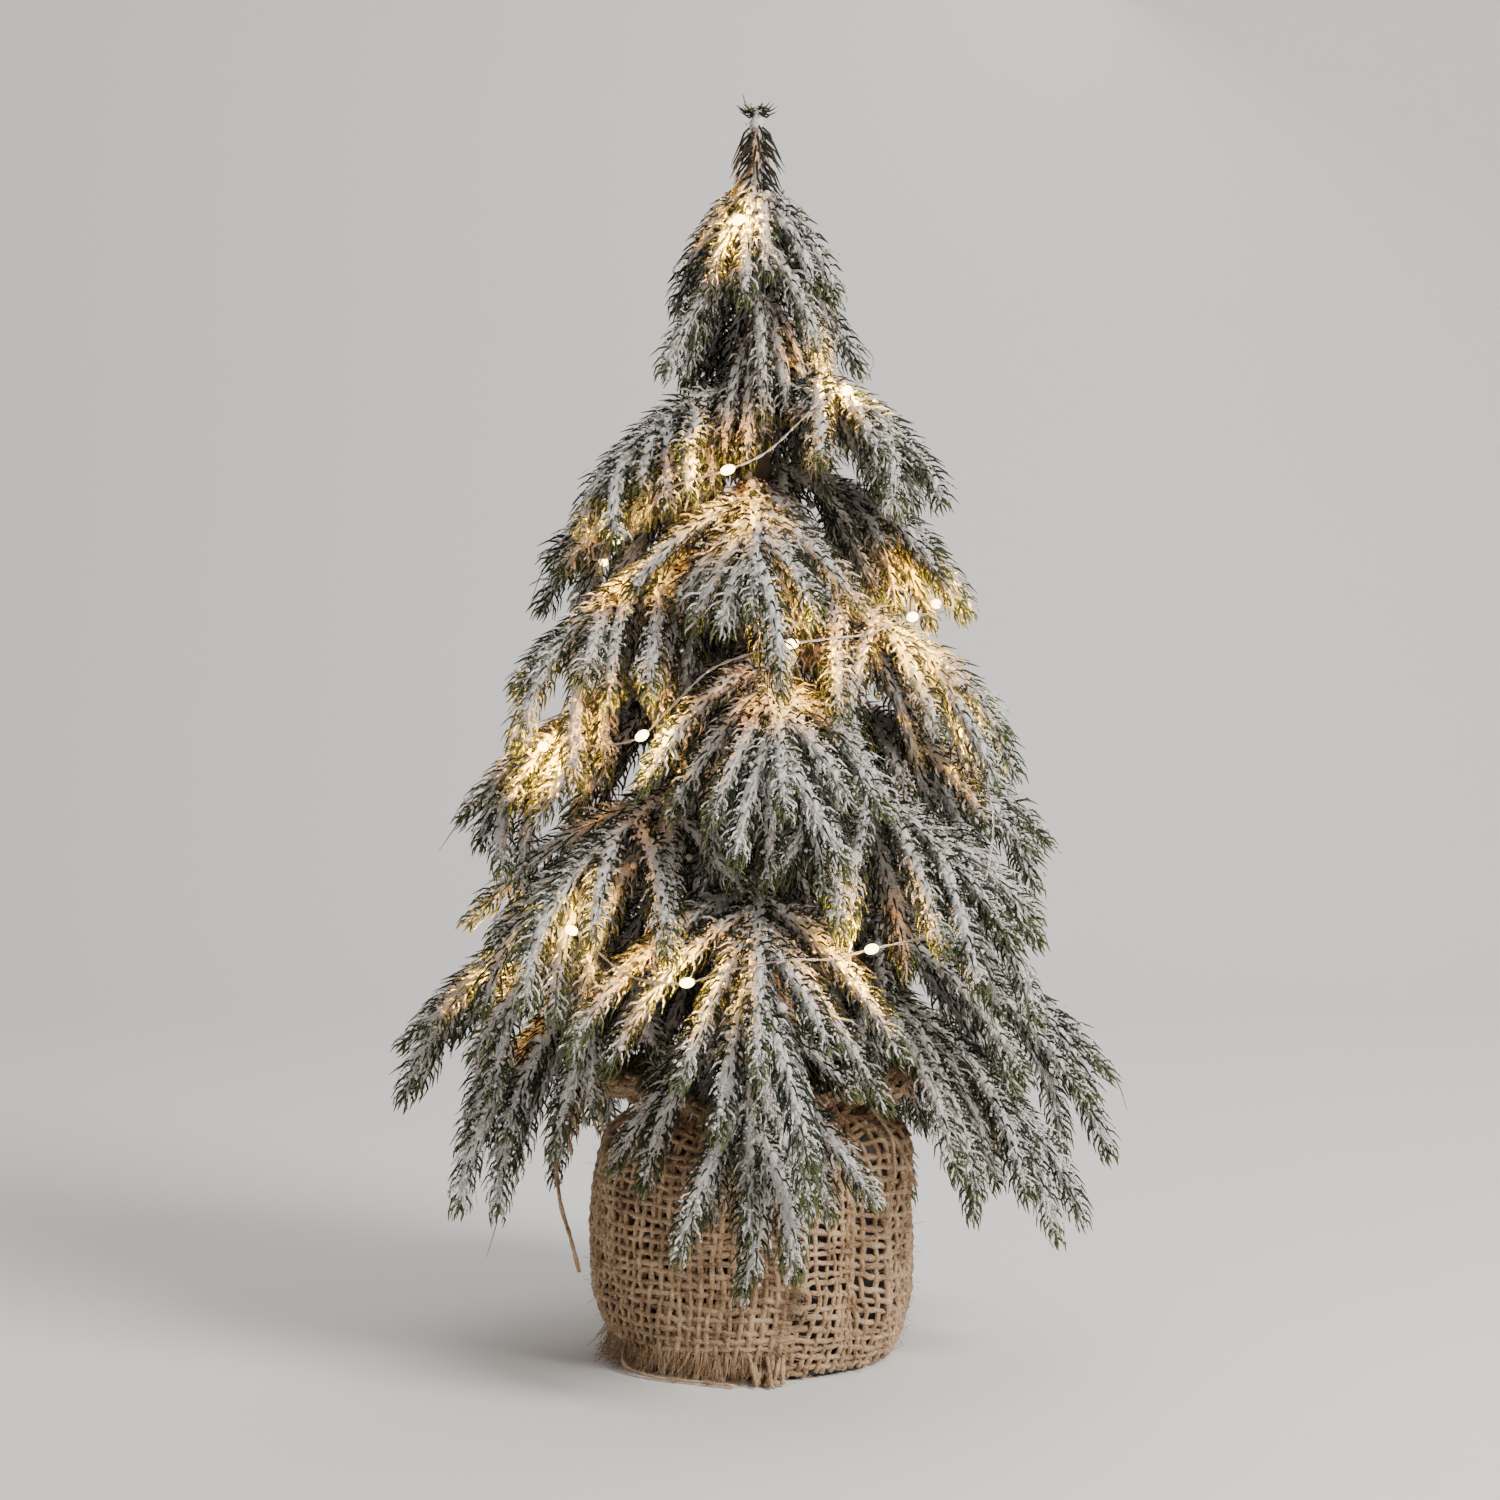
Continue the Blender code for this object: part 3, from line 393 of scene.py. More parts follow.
# %% The scattering tree
def scatter_tree():
    tree = bpy.data.node_groups.new("set_needles", "GeometryNodeTree")
    labels = ("Needle", "Crumb points", "Crumb", "Lump points", "Lump", "Cores", "Threads")
    for label in ("Geometry", *labels):
        kind = "NodeSocketGeometry" if label == "Geometry" else "NodeSocketObject"
        tree.interface.new_socket(label, in_out="INPUT", socket_type=kind)
    tree.interface.new_socket("Geometry", in_out="OUTPUT", socket_type="NodeSocketGeometry")
    start, end = node(tree, "NodeGroupInput"), node(tree, "NodeGroupOutput")
    join = node(tree, "GeometryNodeJoinGeometry")

    def from_object(label):
        made = node(tree, "GeometryNodeObjectInfo", transform_space="ORIGINAL")
        tree.links.new(start.outputs[label], made.inputs["Object"])
        return made.outputs["Geometry"]

    def named(name):
        made = node(tree, "GeometryNodeInputNamedAttribute", data_type="FLOAT_VECTOR")
        made.inputs["Name"].default_value = name
        return made.outputs["Attribute"]

    def stamped(points, shape):
        turn = node(tree, "FunctionNodeAxesToRotation", primary_axis="Z", secondary_axis="Y")
        tree.links.new(named("way"), turn.inputs["Primary Axis"])
        tree.links.new(named("back"), turn.inputs["Secondary Axis"])
        made = node(tree, "GeometryNodeInstanceOnPoints")
        tree.links.new(points, made.inputs["Points"])
        tree.links.new(shape, made.inputs["Instance"])
        tree.links.new(turn.outputs[0], made.inputs["Rotation"])
        tree.links.new(named("size"), made.inputs["Scale"])
        real = node(tree, "GeometryNodeRealizeInstances")
        tree.links.new(made.outputs[0], real.inputs[0])
        return real.outputs[0]

    parts = [stamped(start.outputs["Geometry"], from_object("Needle")),
             stamped(from_object("Crumb points"), from_object("Crumb")),
             stamped(from_object("Lump points"), from_object("Lump")),
             from_object("Cores"), from_object("Threads")]
    for part in parts:
        tree.links.new(part, join.inputs[0])
    tree.links.new(join.outputs[0], end.inputs[0])
    return tree


SCATTER = scatter_tree()
KEYS = ("place", "way", "back", "size", "flock", "young", "shade")


def cloud(name, spots):
    """A mesh of loose points with the attributes that the scattering tree reads."""
    mesh = bpy.data.meshes.new(name)
    mesh.vertices.add(len(spots["place"]))
    mesh.vertices.foreach_set("co", np.asarray(spots["place"], np.float32).ravel())
    for key in KEYS[1:4]:
        made = mesh.attributes.new(key, "FLOAT_VECTOR", "POINT")
        made.data.foreach_set("vector", np.asarray(spots[key], np.float32).ravel())
    for key in KEYS[4:]:
        made = mesh.attributes.new(key, "FLOAT", "POINT")
        made.data.foreach_set("value", np.asarray(spots[key], np.float32))
    return put(name, mesh)


def spline(a, b, c, d, count):
    """Points from b up to, but not at, c, on a smooth curve that comes from a and goes on to d."""
    line = []
    for n in range(count):
        t = n / count
        line.append(0.5 * ((2 * b) + (c - a) * t + (2 * a - 5 * b + 4 * c - d) * t * t
                           + (3 * b - a - 3 * c + d) * t ** 3))
    return line


def marked_line(points, step=None, count=None):
    """A smooth curve through points, a step apart or count to a run, and where the given ones are in it."""
    ends = [2 * points[0] - points[1], *points, 2 * points[-1] - points[-2]]
    line, marks = [], []
    for a, b, c, d in zip(ends, ends[1:], ends[2:], ends[3:]):
        marks.append(len(line))
        line += spline(a, b, c, d, count or max(1, round((c - b).length / step)))
    return [*line, points[-1]], [*marks, len(line)]


def smooth_line(points, step):
    return marked_line(points, step)[0]


def tube_mesh(lines, sides=6):
    """Round bars as one mesh. A line is its points and its radii."""
    curve = bpy.data.curves.new("bar", "CURVE")
    curve.dimensions = "3D"
    curve.bevel_depth = 1.0
    curve.bevel_resolution = sides // 2 - 2
    curve.use_fill_caps = True
    for points, radii in lines:
        bar = curve.splines.new("POLY")
        bar.points.add(len(points) - 1)
        bar.points.foreach_set("co", [x for point in points for x in (*point, 1.0)])
        bar.points.foreach_set("radius", list(radii))
    holder = put("bar", curve)
    mesh = bpy.data.meshes.new_from_object(holder.evaluated_get(bpy.context.evaluated_depsgraph_get()))
    bpy.data.objects.remove(holder)
    bpy.data.curves.remove(curve)
    bm = bmesh.new()
    bm.from_mesh(mesh)
    bmesh.ops.remove_doubles(bm, verts=bm.verts, dist=1e-7)      # joins the caps to the bars
    bm.to_mesh(mesh)
    bm.free()
    mesh.shade_smooth()
    return mesh


# %% [markdown]
# A shoot's needles stand out at about thirty-six degrees and lean further forward at its tip, where they
# are also shorter and yellower. They are set in a golden-angle spiral, a little flattened, as two halves of
# a mould leave them. The stem is thick with flock, and it is the needles' dark ends that show between its
# clots. Deep in the tree the needles and flock are painted darker and browner as painted shade, over a
# random change of tone.

# %% What a shoot has, unless it says otherwise
NEEDLES_PER_M, CRUMBS_PER_M, LUMPS_PER_M = 1950.0, 2150.0, 14.0
GOLDEN = math.radians(137.508)
FLATTENED = 0.78            # height of a shoot against its width
SHOOT = {
    "bare": 0.02,           # share without needles, at its foot
    "lean": 36.0,           # degrees from the stem to a needle
    "longest": 0.0094,      # length of a usual needle
    "taper": 1.0,           # how far the needles close up and shorten at its tip
    "full": 1.0,            # needles against the usual number
    "coated": 0.34,         # share of needles with a heavy coat of flock
}
HEAVY_COAT, LIGHT_COAT, CRUMB_FLOCK, LUMP_FLOCK, BUD_FLOCK = 0.78, 0.12, 0.95, 1.5, -2.0
NEEDLE_THICKNESS, CRUMB_R, LUMP_R = (0.0092, 0.0122), 0.00044, (0.0014, 0.0020)
TREE_HEIGHTS, TREE_RADII = (0.04, 0.11, 0.20, 0.30, 0.38, 0.43), (0.085, 0.120, 0.100, 0.080, 0.045, 0.018)


def frame_of(ahead):
    """Two directions across a shoot: to its side and above it."""
    side = ahead.cross(Vector((0, 0, 1)))
    side = side.normalized() if side.length > 0.05 else Vector((1, 0, 0))
    return side, side.cross(ahead).normalized()


# how deep a place lies sets the painted shade of the needles and flock there
def depth_in_tree(place):
    """0 at the outside of the tree, 1 at its trunk."""
    edge = float(np.interp(place.z, TREE_HEIGHTS, TREE_RADII))
    return min(1.0, max(0.0, 1.25 - 1.25 * math.hypot(place.x, place.y) / edge))


def ahead_at(line, part):
    """Which way a shoot runs at a share of its length."""
    return (point_at(line, min(part + 0.03, 1.0)) - point_at(line, max(part - 0.03, 0.0))).normalized()


def past(part, start):
    """0 up to a share of a shoot's length, then rising to 1 at its tip."""
    return max(0.0, (part - start) / (1.0 - start))


def any_way(stray):
    return Vector((stray.gauss(0, 1), stray.gauss(0, 1), stray.gauss(0, 1)))


def spot(into, *values):
    for key, value in zip(KEYS, values):
        into[key].append(value)


# %% [markdown]
# Needles, crumbs, lumps and the stem are worked out shoot by shoot, and always in that order. All draw from
# one seeded row of random numbers, so a spray comes out the same each time that it is grown.

# %% Needles, flock and stem of one shoot
def set_needles(spots, line, length, how, stray):
    own, spin = stray.uniform(-0.14, 0.14), stray.uniform(0.0, math.tau)
    first = how["bare"]
    count = int(length * (1.0 - first) * NEEDLES_PER_M * how["full"])
    for n in range(count):
        part = first + (1.0 - first) * (n + stray.random()) / count
        here, ahead = point_at(line, part), ahead_at(line, part)
        side, above = frame_of(ahead)
        angle = spin + n * GOLDEN
        out = (side * math.cos(angle) + above * math.sin(angle) * FLATTENED).normalized()
        tip = past(part, 0.82) * how["taper"]
        root = min(1.0, (part - first) / 0.08)
        open_by = math.radians(how["lean"] + stray.uniform(-9.0, 9.0)) * (1.0 - 0.60 * tip)
        way = ahead * math.cos(open_by) + out * math.sin(open_by)
        long = how["longest"] * (0.65 + 0.35 * root) * (1.0 - 0.40 * tip) * stray.uniform(0.80, 1.12)
        thick = stray.uniform(*NEEDLE_THICKNESS)
        coat = HEAVY_COAT if stray.random() < how["coated"] else LIGHT_COAT
        flock = coat + 0.14 * max(0.0, out.z) - 0.20 * tip + own + stray.uniform(-0.10, 0.10)
        young = min(1.0, max(0.0, 0.04 + own + past(part, 0.74) + stray.uniform(-0.1, 0.14)))
        # painted shade that deepens towards the trunk, over a random change of tone
        shade = min(1.0, 0.35 * stray.random() + 0.75 * depth_in_tree(here))
        spot(spots, here + out * 0.0006, way, -ahead, (thick, thick, long), flock, young, shade)


def set_crumbs(spots, line, length, how, stray):
    """Clots of flock round the stem, most of them above it."""
    for _ in range(int(length * CRUMBS_PER_M * min(how["full"], 1.0))):
        part = stray.uniform(how["bare"] * 0.6, 0.95)
        here, ahead = point_at(line, part), ahead_at(line, part)
        side, above = frame_of(ahead)
        angle = stray.gauss(math.pi / 2, 1.15)
        out = side * math.cos(angle) + above * math.sin(angle)
        big = CRUMB_R * (1.0 + stray.random() ** 3 * 1.8)
        place = here + out * stray.uniform(0.0014, 0.0048) + ahead * 0.001
        size = (big * stray.uniform(0.8, 1.6), big, big * stray.uniform(0.6, 1.0))
        # painted shade that deepens towards the trunk, over a random change of tone
        shade = min(1.0, 0.3 * stray.random() + 0.8 * depth_in_tree(here))
        spot(spots, place, out, ahead, size, CRUMB_FLOCK, 0.0, shade)


def set_lumps(spots, line, length, how, stray):
    """A few balls of flock, and now and then a dark bud."""
    for _ in range(int(length * LUMPS_PER_M * how["full"] + stray.random())):
        bud = stray.random() < 0.25
        here = point_at(line, stray.uniform(0.1, 0.6) if bud else stray.uniform(0.0, 0.4))
        out = any_way(stray).normalized()
        big = stray.uniform(*LUMP_R)
        spot(spots, here + out * stray.uniform(0.002, 0.006), out, out.orthogonal(), (big, big, big * 0.9),
             BUD_FLOCK if bud else LUMP_FLOCK, 0.0, 0.2 if bud else 0.45)


def stem(line, how, stray):
    """The stem under its flock: thin at the foot, where it is bare, and at the tip."""
    radii = []
    for n in range(len(line)):
        part = n / (len(line) - 1)
        usual = 0.0013 + 0.0010 * min(1.0, part / max(how["bare"] * 1.8, 0.08))
        radii.append(usual * stray.uniform(0.8, 1.25) * (1.0 - 0.85 * past(part, 0.75)))
    return line, radii


def end_thread(line, stray):
    """The bare thread of plastic that some moulded tips keep."""
    end, ahead = line[-1], (line[-1] - line[-2]).normalized()
    fall = stray.uniform(0.006, 0.012)
    bend = Vector((stray.gauss(0, 0.3), stray.gauss(0, 0.3), -0.6))
    points = [end - ahead * 0.004, end + ahead * 0.003, end + (ahead + bend * 0.5) * fall * 0.6,
              end + (ahead + bend) * fall]
    return points, [0.00028, 0.00024, 0.00018, 0.00008]


def dress(shoots, stray):
    """Needle, crumb and lump points, cores and threads. A shoot is its points and what differs from SHOOT."""
    needles, crumbs, lumps = ({key: [] for key in KEYS} for _ in range(3))
    cores, threads = [], []
    for points, differs in shoots:
        how = {**SHOOT, **differs}
        line = smooth_line(points, 0.004)
        length = sum((b - a).length for a, b in zip(line, line[1:]))
        set_needles(needles, line, length, how, stray)
        set_crumbs(crumbs, line, length, how, stray)
        set_lumps(lumps, line, length, how, stray)
        cores.append(stem(line, how, stray))
        if stray.random() < 0.12:
            threads.append(end_thread(line, stray))
    threads.append((line[:2], [0.0002, 0.0002]))        # hidden in the last stem, so that there is always one
    return needles, crumbs, lumps, cores, threads


# %% [markdown]
# The points and bars of all of a spray's shoots go through the scattering tree together. Its result is
# copied into a plain mesh with one material, and the helpers are removed, so the finished piece has no
# modifier left on it.

# %% One spray as one piece
def painted(name, mesh, **values):
    """A mesh object with the needle material's attributes set to one value each."""
    for key, value in values.items():
        made = mesh.attributes.new(key, "FLOAT", "POINT")
        made.data.foreach_set("value", np.full(len(mesh.vertices), value, np.float32))
    return put(name, mesh)


def grown(name, shoots, stray):
    """A spray as one plain mesh object."""
    needles, crumbs, lumps, cores, threads = dress(shoots, stray)
    points = cloud(name, needles)
    extra = [cloud("crumb_points", crumbs), cloud("lump_points", lumps),
             painted("cores", tube_mesh(cores, 6), flock=0.36, young=0.0, shade=0.35, along=0.0),
             painted("threads", tube_mesh(threads, 4), flock=-1.0, young=0.9, shade=0.0, along=0.8)]
    step = points.modifiers.new("set needles", "NODES")
    step.node_group = SCATTER
    sockets = [item.identifier for item in SCATTER.interface.items_tree if item.in_out == "INPUT"]
    for identifier, value in zip(sockets[1:], (needle, extra[0], crumb, extra[1], lump, *extra[2:])):
        step[identifier] = value
    bpy.context.view_layer.update()
    mesh = bpy.data.meshes.new_from_object(points.evaluated_get(bpy.context.evaluated_depsgraph_get()))
    for old in (points, *extra):
        bpy.data.objects.remove(old)
    for key in KEYS[1:4]:
        if key in mesh.attributes:
            mesh.attributes.remove(mesh.attributes[key])
    mesh.materials.clear()
    mesh.materials.append(NEEDLES)
    mesh.shade_smooth()
    return put(name, mesh)


def triangles(made):
    return sum(len(face.vertices) - 2 for face in made.data.polygons)


# %% [markdown]
# ## The branches
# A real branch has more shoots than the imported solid: steep ones near the trunk that close the tree's
# middle, and more along its outer half. They could be a second object, but grown with the branch's own
# shoots they make one spray, which bends as one with its branch.

# %% Branches
MORE_SHOOTS = (     # where on the leader, turn, slopes at start and tip, length against the leader's
    (0.00, -40.0, -22.0, -62.0, 0.42), (0.00, 38.0, -28.0, -68.0, 0.44), (0.02, -98.0, -42.0, -80.0, 0.44),
    (0.02, 94.0, -46.0, -82.0, 0.42), (0.05, 10.0, -58.0, -84.0, 0.56), (0.13, -34.0, -40.0, -80.0, 0.62),
    (0.19, 30.0, -44.0, -80.0, 0.60), (0.30, -10.0, -46.0, -88.0, 0.70), (0.37, -56.0, -26.0, -68.0, 0.56),
    (0.43, 54.0, -28.0, -70.0, 0.55), (0.50, 13.0, -46.0, -88.0, 0.66), (0.62, -26.0, -38.0, -76.0, 0.50),
    (0.70, 24.0, -40.0, -80.0, 0.46), (0.27, -84.0, -16.0, -56.0, 0.40), (0.32, 82.0, -18.0, -58.0, 0.40),
)
MORE_RUNS = 4
BY_THE_TRUNK, SHORTENED = 0.25, 0.68        # low down, shoots by the trunk are shorter, to clear the hessian
LENGTHS = {tier[0]: tier[4] for tier in TIERS}


def more_shoots(leader, turn, tier, stray):
    made = []
    for part, side_turn, slope, tip_slope, share in MORE_SHOOTS:
        if tier in ("skirt", "lower") and part < BY_THE_TRUNK:
            share *= SHORTENED
        swing = turn + side_turn + stray.uniform(-15.0, 15.0)
        length = LENGTHS[tier] * share * stray.uniform(0.78, 1.14)
        path = bent_path(point_at(leader, part), swing, length, slope + stray.uniform(-10.0, 10.0),
                         tip_slope + stray.uniform(-4.0, 12.0), MORE_RUNS)
        sway = heading(swing + 90.0, 0.0) * stray.gauss(0.0, 0.006)
        made.append(([point + sway * (n / MORE_RUNS) ** 2 for n, point in enumerate(path)], {"bare": 0.04}))
    return made


total = 0
for number, (name, pivot, turn, shoots) in enumerate(branches):
    stray = random.Random(number)
    dressed = [(shoots[0], {"bare": 0.10})] + [(shoot, {}) for shoot in shoots[1:]]
    dressed += more_shoots(shoots[0], turn, name.split("_")[1], stray)
    spray = grown(name.replace("branch", "spray"), dressed, stray)
    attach(spray, name)
    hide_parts(name)
    total += triangles(spray)
print("triangles in the branches", total)

# %% [markdown]
# ## The moulded top
# Short drooping shoots hide the end of the trunk. Above them the leader carries long needles that all point
# down and out like an umbrella's ribs, then a bare neck and a small star. All of them are shoots with other
# lengths and angles, so the same helper grows them.

# %% Top
def droop(turn, low, length, slope, tip_slope):
    """A short shoot that leaves the trunk this far below its top."""
    start = heading(turn, 0.0) * SOCKET_R + Vector((0.0, 0.0, TRUNK_TOP - low))
    return bent_path(start, turn, length, slope, tip_slope, SIDE_RUNS), {"longest": 0.0085}


def upright(*lows):
    """Points on the tree's axis, given as how far each lies below its very top."""
    return [Vector((0.0, 0.0, TREE_TOP - low)) for low in lows]


NECK = upright(0.0120, 0.0080, 0.0040)
RIBS = upright(0.0070, 0.0160, 0.0260, TREE_TOP - TRUNK_TOP + 0.001)
STAR = upright(0.0050, 0.0036, 0.0022)
tops = [(shoot, {"longest": 0.0088}) for shoot in top_shoots]
tops += [droop(n * 51.4 + 20.0, 0.004 - 0.005 * (n % 2), 0.036, -40.0, -80.0) for n in range(7)]
tops += [droop(n * 137.5, 0.008 + 0.014 * (n % 4), 0.050, -48.0, -84.0) for n in range(20)]
tops += [(RIBS, {"lean": 41.0, "longest": 0.0142, "taper": 0.0, "full": 1.9, "coated": 0.08}),
         (STAR, {"lean": 80.0, "longest": 0.0066, "taper": 0.0, "full": 3.4, "coated": 0.05}),
         (NECK, {"full": 0.1})]
top = grown("spray_top", tops, random.Random(99))
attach(top, "base")
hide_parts("top_sprig")
print("triangles in the top", triangles(top))

# %% [markdown]
# ## The light string
# The string climbs beside the trunk and is then wound round the branches, eased clear of the shoots that it
# passes. A lamp is a drop of cast resin on the wire. It rides on the branch that it lies on.

# %% The string's way up the tree
WIRE_R, LAMP_R, LAMP_LENGTH = 0.0006, 0.0021, 0.0052
STRING_STEP = 0.015
MOST_ROUNDS, EASED = 400, 0.35      # of easing, and the share of a shortage that one round makes good
STRING_ROUTE = (
    (180.0, 0.0255, 0.0164, False), (180.0, 0.0255, 0.0600, False), (180.0, 0.0250, 0.0900, False),
    (180.0, 0.0115, 0.1060, False), (190.0, 0.0115, 0.1500, False), (200.0, 0.0150, 0.1840, False),
    (196.0, 0.0500, 0.1700, False), (193.0, 0.0900, 0.1440, True), (212.0, 0.0960, 0.1560, False),
    (229.0, 0.0960, 0.1600, True), (242.0, 0.0960, 0.1470, False), (256.0, 0.0970, 0.1450, True),
    (276.0, 0.0960, 0.1500, False), (294.0, 0.0940, 0.1550, True), (318.0, 0.0960, 0.1640, False),
    (330.0, 0.0940, 0.1980, False), (334.0, 0.0820, 0.2320, True), (358.0, 0.0860, 0.2330, False),
    (20.0, 0.0880, 0.2320, True), (45.0, 0.0890, 0.2300, False), (70.0, 0.0890, 0.2280, True),
    (95.0, 0.0890, 0.2260, False), (118.0, 0.0890, 0.2250, True), (145.0, 0.0880, 0.2240, False),
    (168.0, 0.0870, 0.2230, True), (190.0, 0.0860, 0.2220, False), (209.0, 0.0850, 0.2210, True),
    (226.0, 0.0850, 0.2220, False), (242.0, 0.0830, 0.2260, True), (258.0, 0.0780, 0.2480, False),
    (279.0, 0.0740, 0.2570, True), (300.0, 0.0730, 0.2600, False), (318.0, 0.0720, 0.2660, True),
    (345.0, 0.0700, 0.2680, False), (14.0, 0.0680, 0.2710, True), (50.0, 0.0670, 0.2750, False),
    (84.0, 0.0660, 0.2790, True), (118.0, 0.0650, 0.2820, False), (152.0, 0.0640, 0.2860, True),
    (184.0, 0.0630, 0.2900, False), (215.0, 0.0600, 0.2930, True), (238.0, 0.0560, 0.3060, False),
    (259.0, 0.0500, 0.3150, True), (288.0, 0.0450, 0.3300, False), (318.0, 0.0420, 0.3450, True),
    (352.0, 0.0420, 0.3560, False), (50.0, 0.0390, 0.3680, False), (120.0, 0.0340, 0.3800, False),
    (190.0, 0.0270, 0.3930, False), (256.0, 0.0200, 0.4040, True),
)


def closest(p, q, a, b):
    """Of two straight runs, the places where they pass closest, and the gap from the second to the first."""
    u, v, w = q - p, b - a, p - a
    uu, uv, vv, uw, vw = (u * u).sum(-1), (u * v).sum(-1), (v * v).sum(-1), (u * w).sum(-1), (v * w).sum(-1)
    bottom = np.maximum(uu * vv - uv * uv, 1e-12)
    s = np.clip((uv * vw - vv * uw) / bottom, 0.0, 1.0)
    t = np.clip((uv * s + vw) / np.maximum(vv, 1e-12), 0.0, 1.0)
    s = np.clip((uv * t - uw) / np.maximum(uu, 1e-12), 0.0, 1.0)
    return s, (p + u * s[..., None]) - (a + v * t[..., None])


def string_path():
    """The wound string's points, eased clear of every shoot that it passes, and the places of its lamps."""
    route = [heading(turn, 0.0) * out + Vector((0.0, 0.0, z)) for turn, out, z, _ in STRING_ROUTE]
    points, marks = marked_line(route, STRING_STEP)
    lamps = [mark for mark, stop in zip(marks, STRING_ROUTE) if stop[3]]
    line = np.array(points, float)
    runs = [pair for _, _, _, shoots in branches for shoot in shoots for pair in zip(shoot, shoot[1:])]
    runs += [pair for shoot in top_shoots for pair in zip(shoot, shoot[1:])]
    starts, ends = (np.array([pair[n] for pair in runs], float) for n in (0, 1))
    room = np.full(len(line), WIRE_R)
    room[lamps] = LAMP_R
    held = marks[2] + 1
    for _ in range(MOST_ROUNDS):
        p, q = line[:-1, None], line[1:, None]
        s, apart = closest(p, q, starts[None], ends[None])
        gap = np.linalg.norm(apart, axis=-1)
        need = np.maximum(room[:-1], room[1:])[:, None] + CORE_R + 3 * GAP
        short = np.clip(need - gap, 0.0, None)
        if not short[held:].any():
            break
        push = apart / np.maximum(gap, 1e-9)[..., None] * (short * EASED)[..., None]
        moved = np.zeros_like(line)
        np.add.at(moved, np.arange(len(line) - 1), (push * (1 - s)[..., None]).sum(1))
        np.add.at(moved, np.arange(1, len(line)), (push * s[..., None]).sum(1))
        moved[:held] = 0.0
        line += moved
    return [Vector(point) for point in line], lamps


string, lamps = string_path()
print(f"{len(lamps)} lamps; the path leaves the solid's box by {outside_box('light_string', string):.2f} mm")

# %% [markdown]
# The lamps shine through their own resin, so the resin glows, and a small warm light in each throws its
# light on the needles around it. The wire is two fine strands, side by side and slowly twisted.

# %% Wire and lamps
WIRE_METAL, _ = finish("silver_wire", (0.62, 0.52, 0.46), 0.38, 1.0)
RESIN, resin_shader = finish("lit_resin", (1.0, 0.82, 0.50), 0.25, Emission_Strength=16.0)
resin_shader.inputs["Emission Color"].default_value = (1.0, 0.66, 0.26, 1.0)
STRAND_R, STRAND_APART, TWIST = 0.00021, 0.00028, 0.011
DROP_R = LAMP_R * 0.82
LAMP_WATTS, LAMP_HEART = 0.66, 0.0015
GLOW_NEAR, GLOW_FAR = 0.007, 0.044              # needles shut a lamp's light in between these distances
DIM_NEAR, DIM_FAR, DIMMED = 0.002, 0.018, 0.22  # and those that touch it get less, or they would burn out
FAR_ORANGE, NEAR_YELLOW = (1.0, 0.36, 0.02), (1.0, 0.58, 0.04)


def nearest_branch(place):
    """The branch with a shoot closest to a place."""
    best = min(((place - point).length, name) for name, _, _, shoots in branches for shoot in shoots
               for point in smooth_line(shoot, 0.008))
    return best[1]


def wound_pair(line, apart, twist, beside):
    """Two strands wound round a path, a turn to each twist. The path never runs the way of beside."""
    strands, run = ([], []), 0.0
    for n, here in enumerate(line):
        before = line[max(n - 1, 0)]
        ahead = (line[min(n + 1, len(line) - 1)] - before).normalized()
        side = ahead.cross(beside).normalized()
        run += (here - before).length
        a = math.tau * run / twist
        out = (side * math.cos(a) + ahead.cross(side) * math.sin(a)) * apart
        strands[0].append(here + out)
        strands[1].append(here - out)
    return strands


def lamp_shape(name, place, ahead):
    bm = bmesh.new()
    turn = Vector((0, 0, 1)).rotation_difference(ahead).to_matrix().to_4x4()
    bmesh.ops.create_uvsphere(bm, u_segments=16, v_segments=10, radius=DROP_R)
    bmesh.ops.scale(bm, vec=(1, 1, LAMP_LENGTH / 2 / DROP_R), verts=bm.verts)
    bmesh.ops.transform(bm, verts=bm.verts, matrix=Matrix.Translation(place) @ turn)
    mesh = smooth_mesh(name, bm)
    mesh.materials.append(RESIN)
    return put(name, mesh)


def wire_piece(name, first, last):
    mesh = tube_mesh([(strand[first:last + 1], [STRAND_R] * (last + 1 - first)) for strand in strands], 6)
    mesh.materials.append(WIRE_METAL)
    made = put(name, mesh)
    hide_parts("light_string")
    return made


def shut_in(glow):
    """Yellow light close to a lamp that turns orange and fades as more and more needles stand in its way."""
    glow.use_nodes = True
    tree = glow.node_tree
    shine = next(item for item in tree.nodes if item.type == "EMISSION")
    run = node(tree, "ShaderNodeLightPath").outputs["Ray Length"]
    fade = ramped(tree, run, GLOW_NEAR, GLOW_FAR, 1.0, 0.0)
    close = ramped(tree, run, DIM_NEAR, DIM_FAR, DIMMED, 1.0, "LINEAR")
    tree.links.new(maths(tree, "MULTIPLY", fade, close), shine.inputs["Strength"])
    tree.links.new(mixed(tree, fade, FAR_ORANGE, NEAR_YELLOW), shine.inputs["Color"])


# %% [markdown]
# All the lamps could be one mesh, but each has to move with the branch that it lies on, so each is a piece
# of its own. The wire is cut at each lamp and halfway between two lamps.

# %% The string, piece by piece
fine, at = marked_line(string, count=9)
strands = wound_pair(fine, STRAND_APART, TWIST, Vector((0.3, 0.2, 1.0)))
homes = [nearest_branch(string[n]) for n in lamps]
for number, (n, home) in enumerate(zip(lamps, homes), 1):
    ahead = (fine[min(at[n] + 1, len(fine) - 1)] - fine[at[n] - 1]).normalized()
    drop = lamp_shape(f"lamp_{number}", string[n], ahead)
    drop.visible_shadow = False
    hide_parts("light_string")
    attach(drop, home)
    glow = bpy.data.lights.new(f"glow_{number}", "POINT")
    glow.energy, glow.shadow_soft_size = LAMP_WATTS, LAMP_HEART
    shut_in(glow)
    lit = put(f"glow_{number}", glow)
    lit.location = string[n]
    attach(lit, home)
LEAD_STOPS = 5                  # the wire is free from this many stops before the first lamp
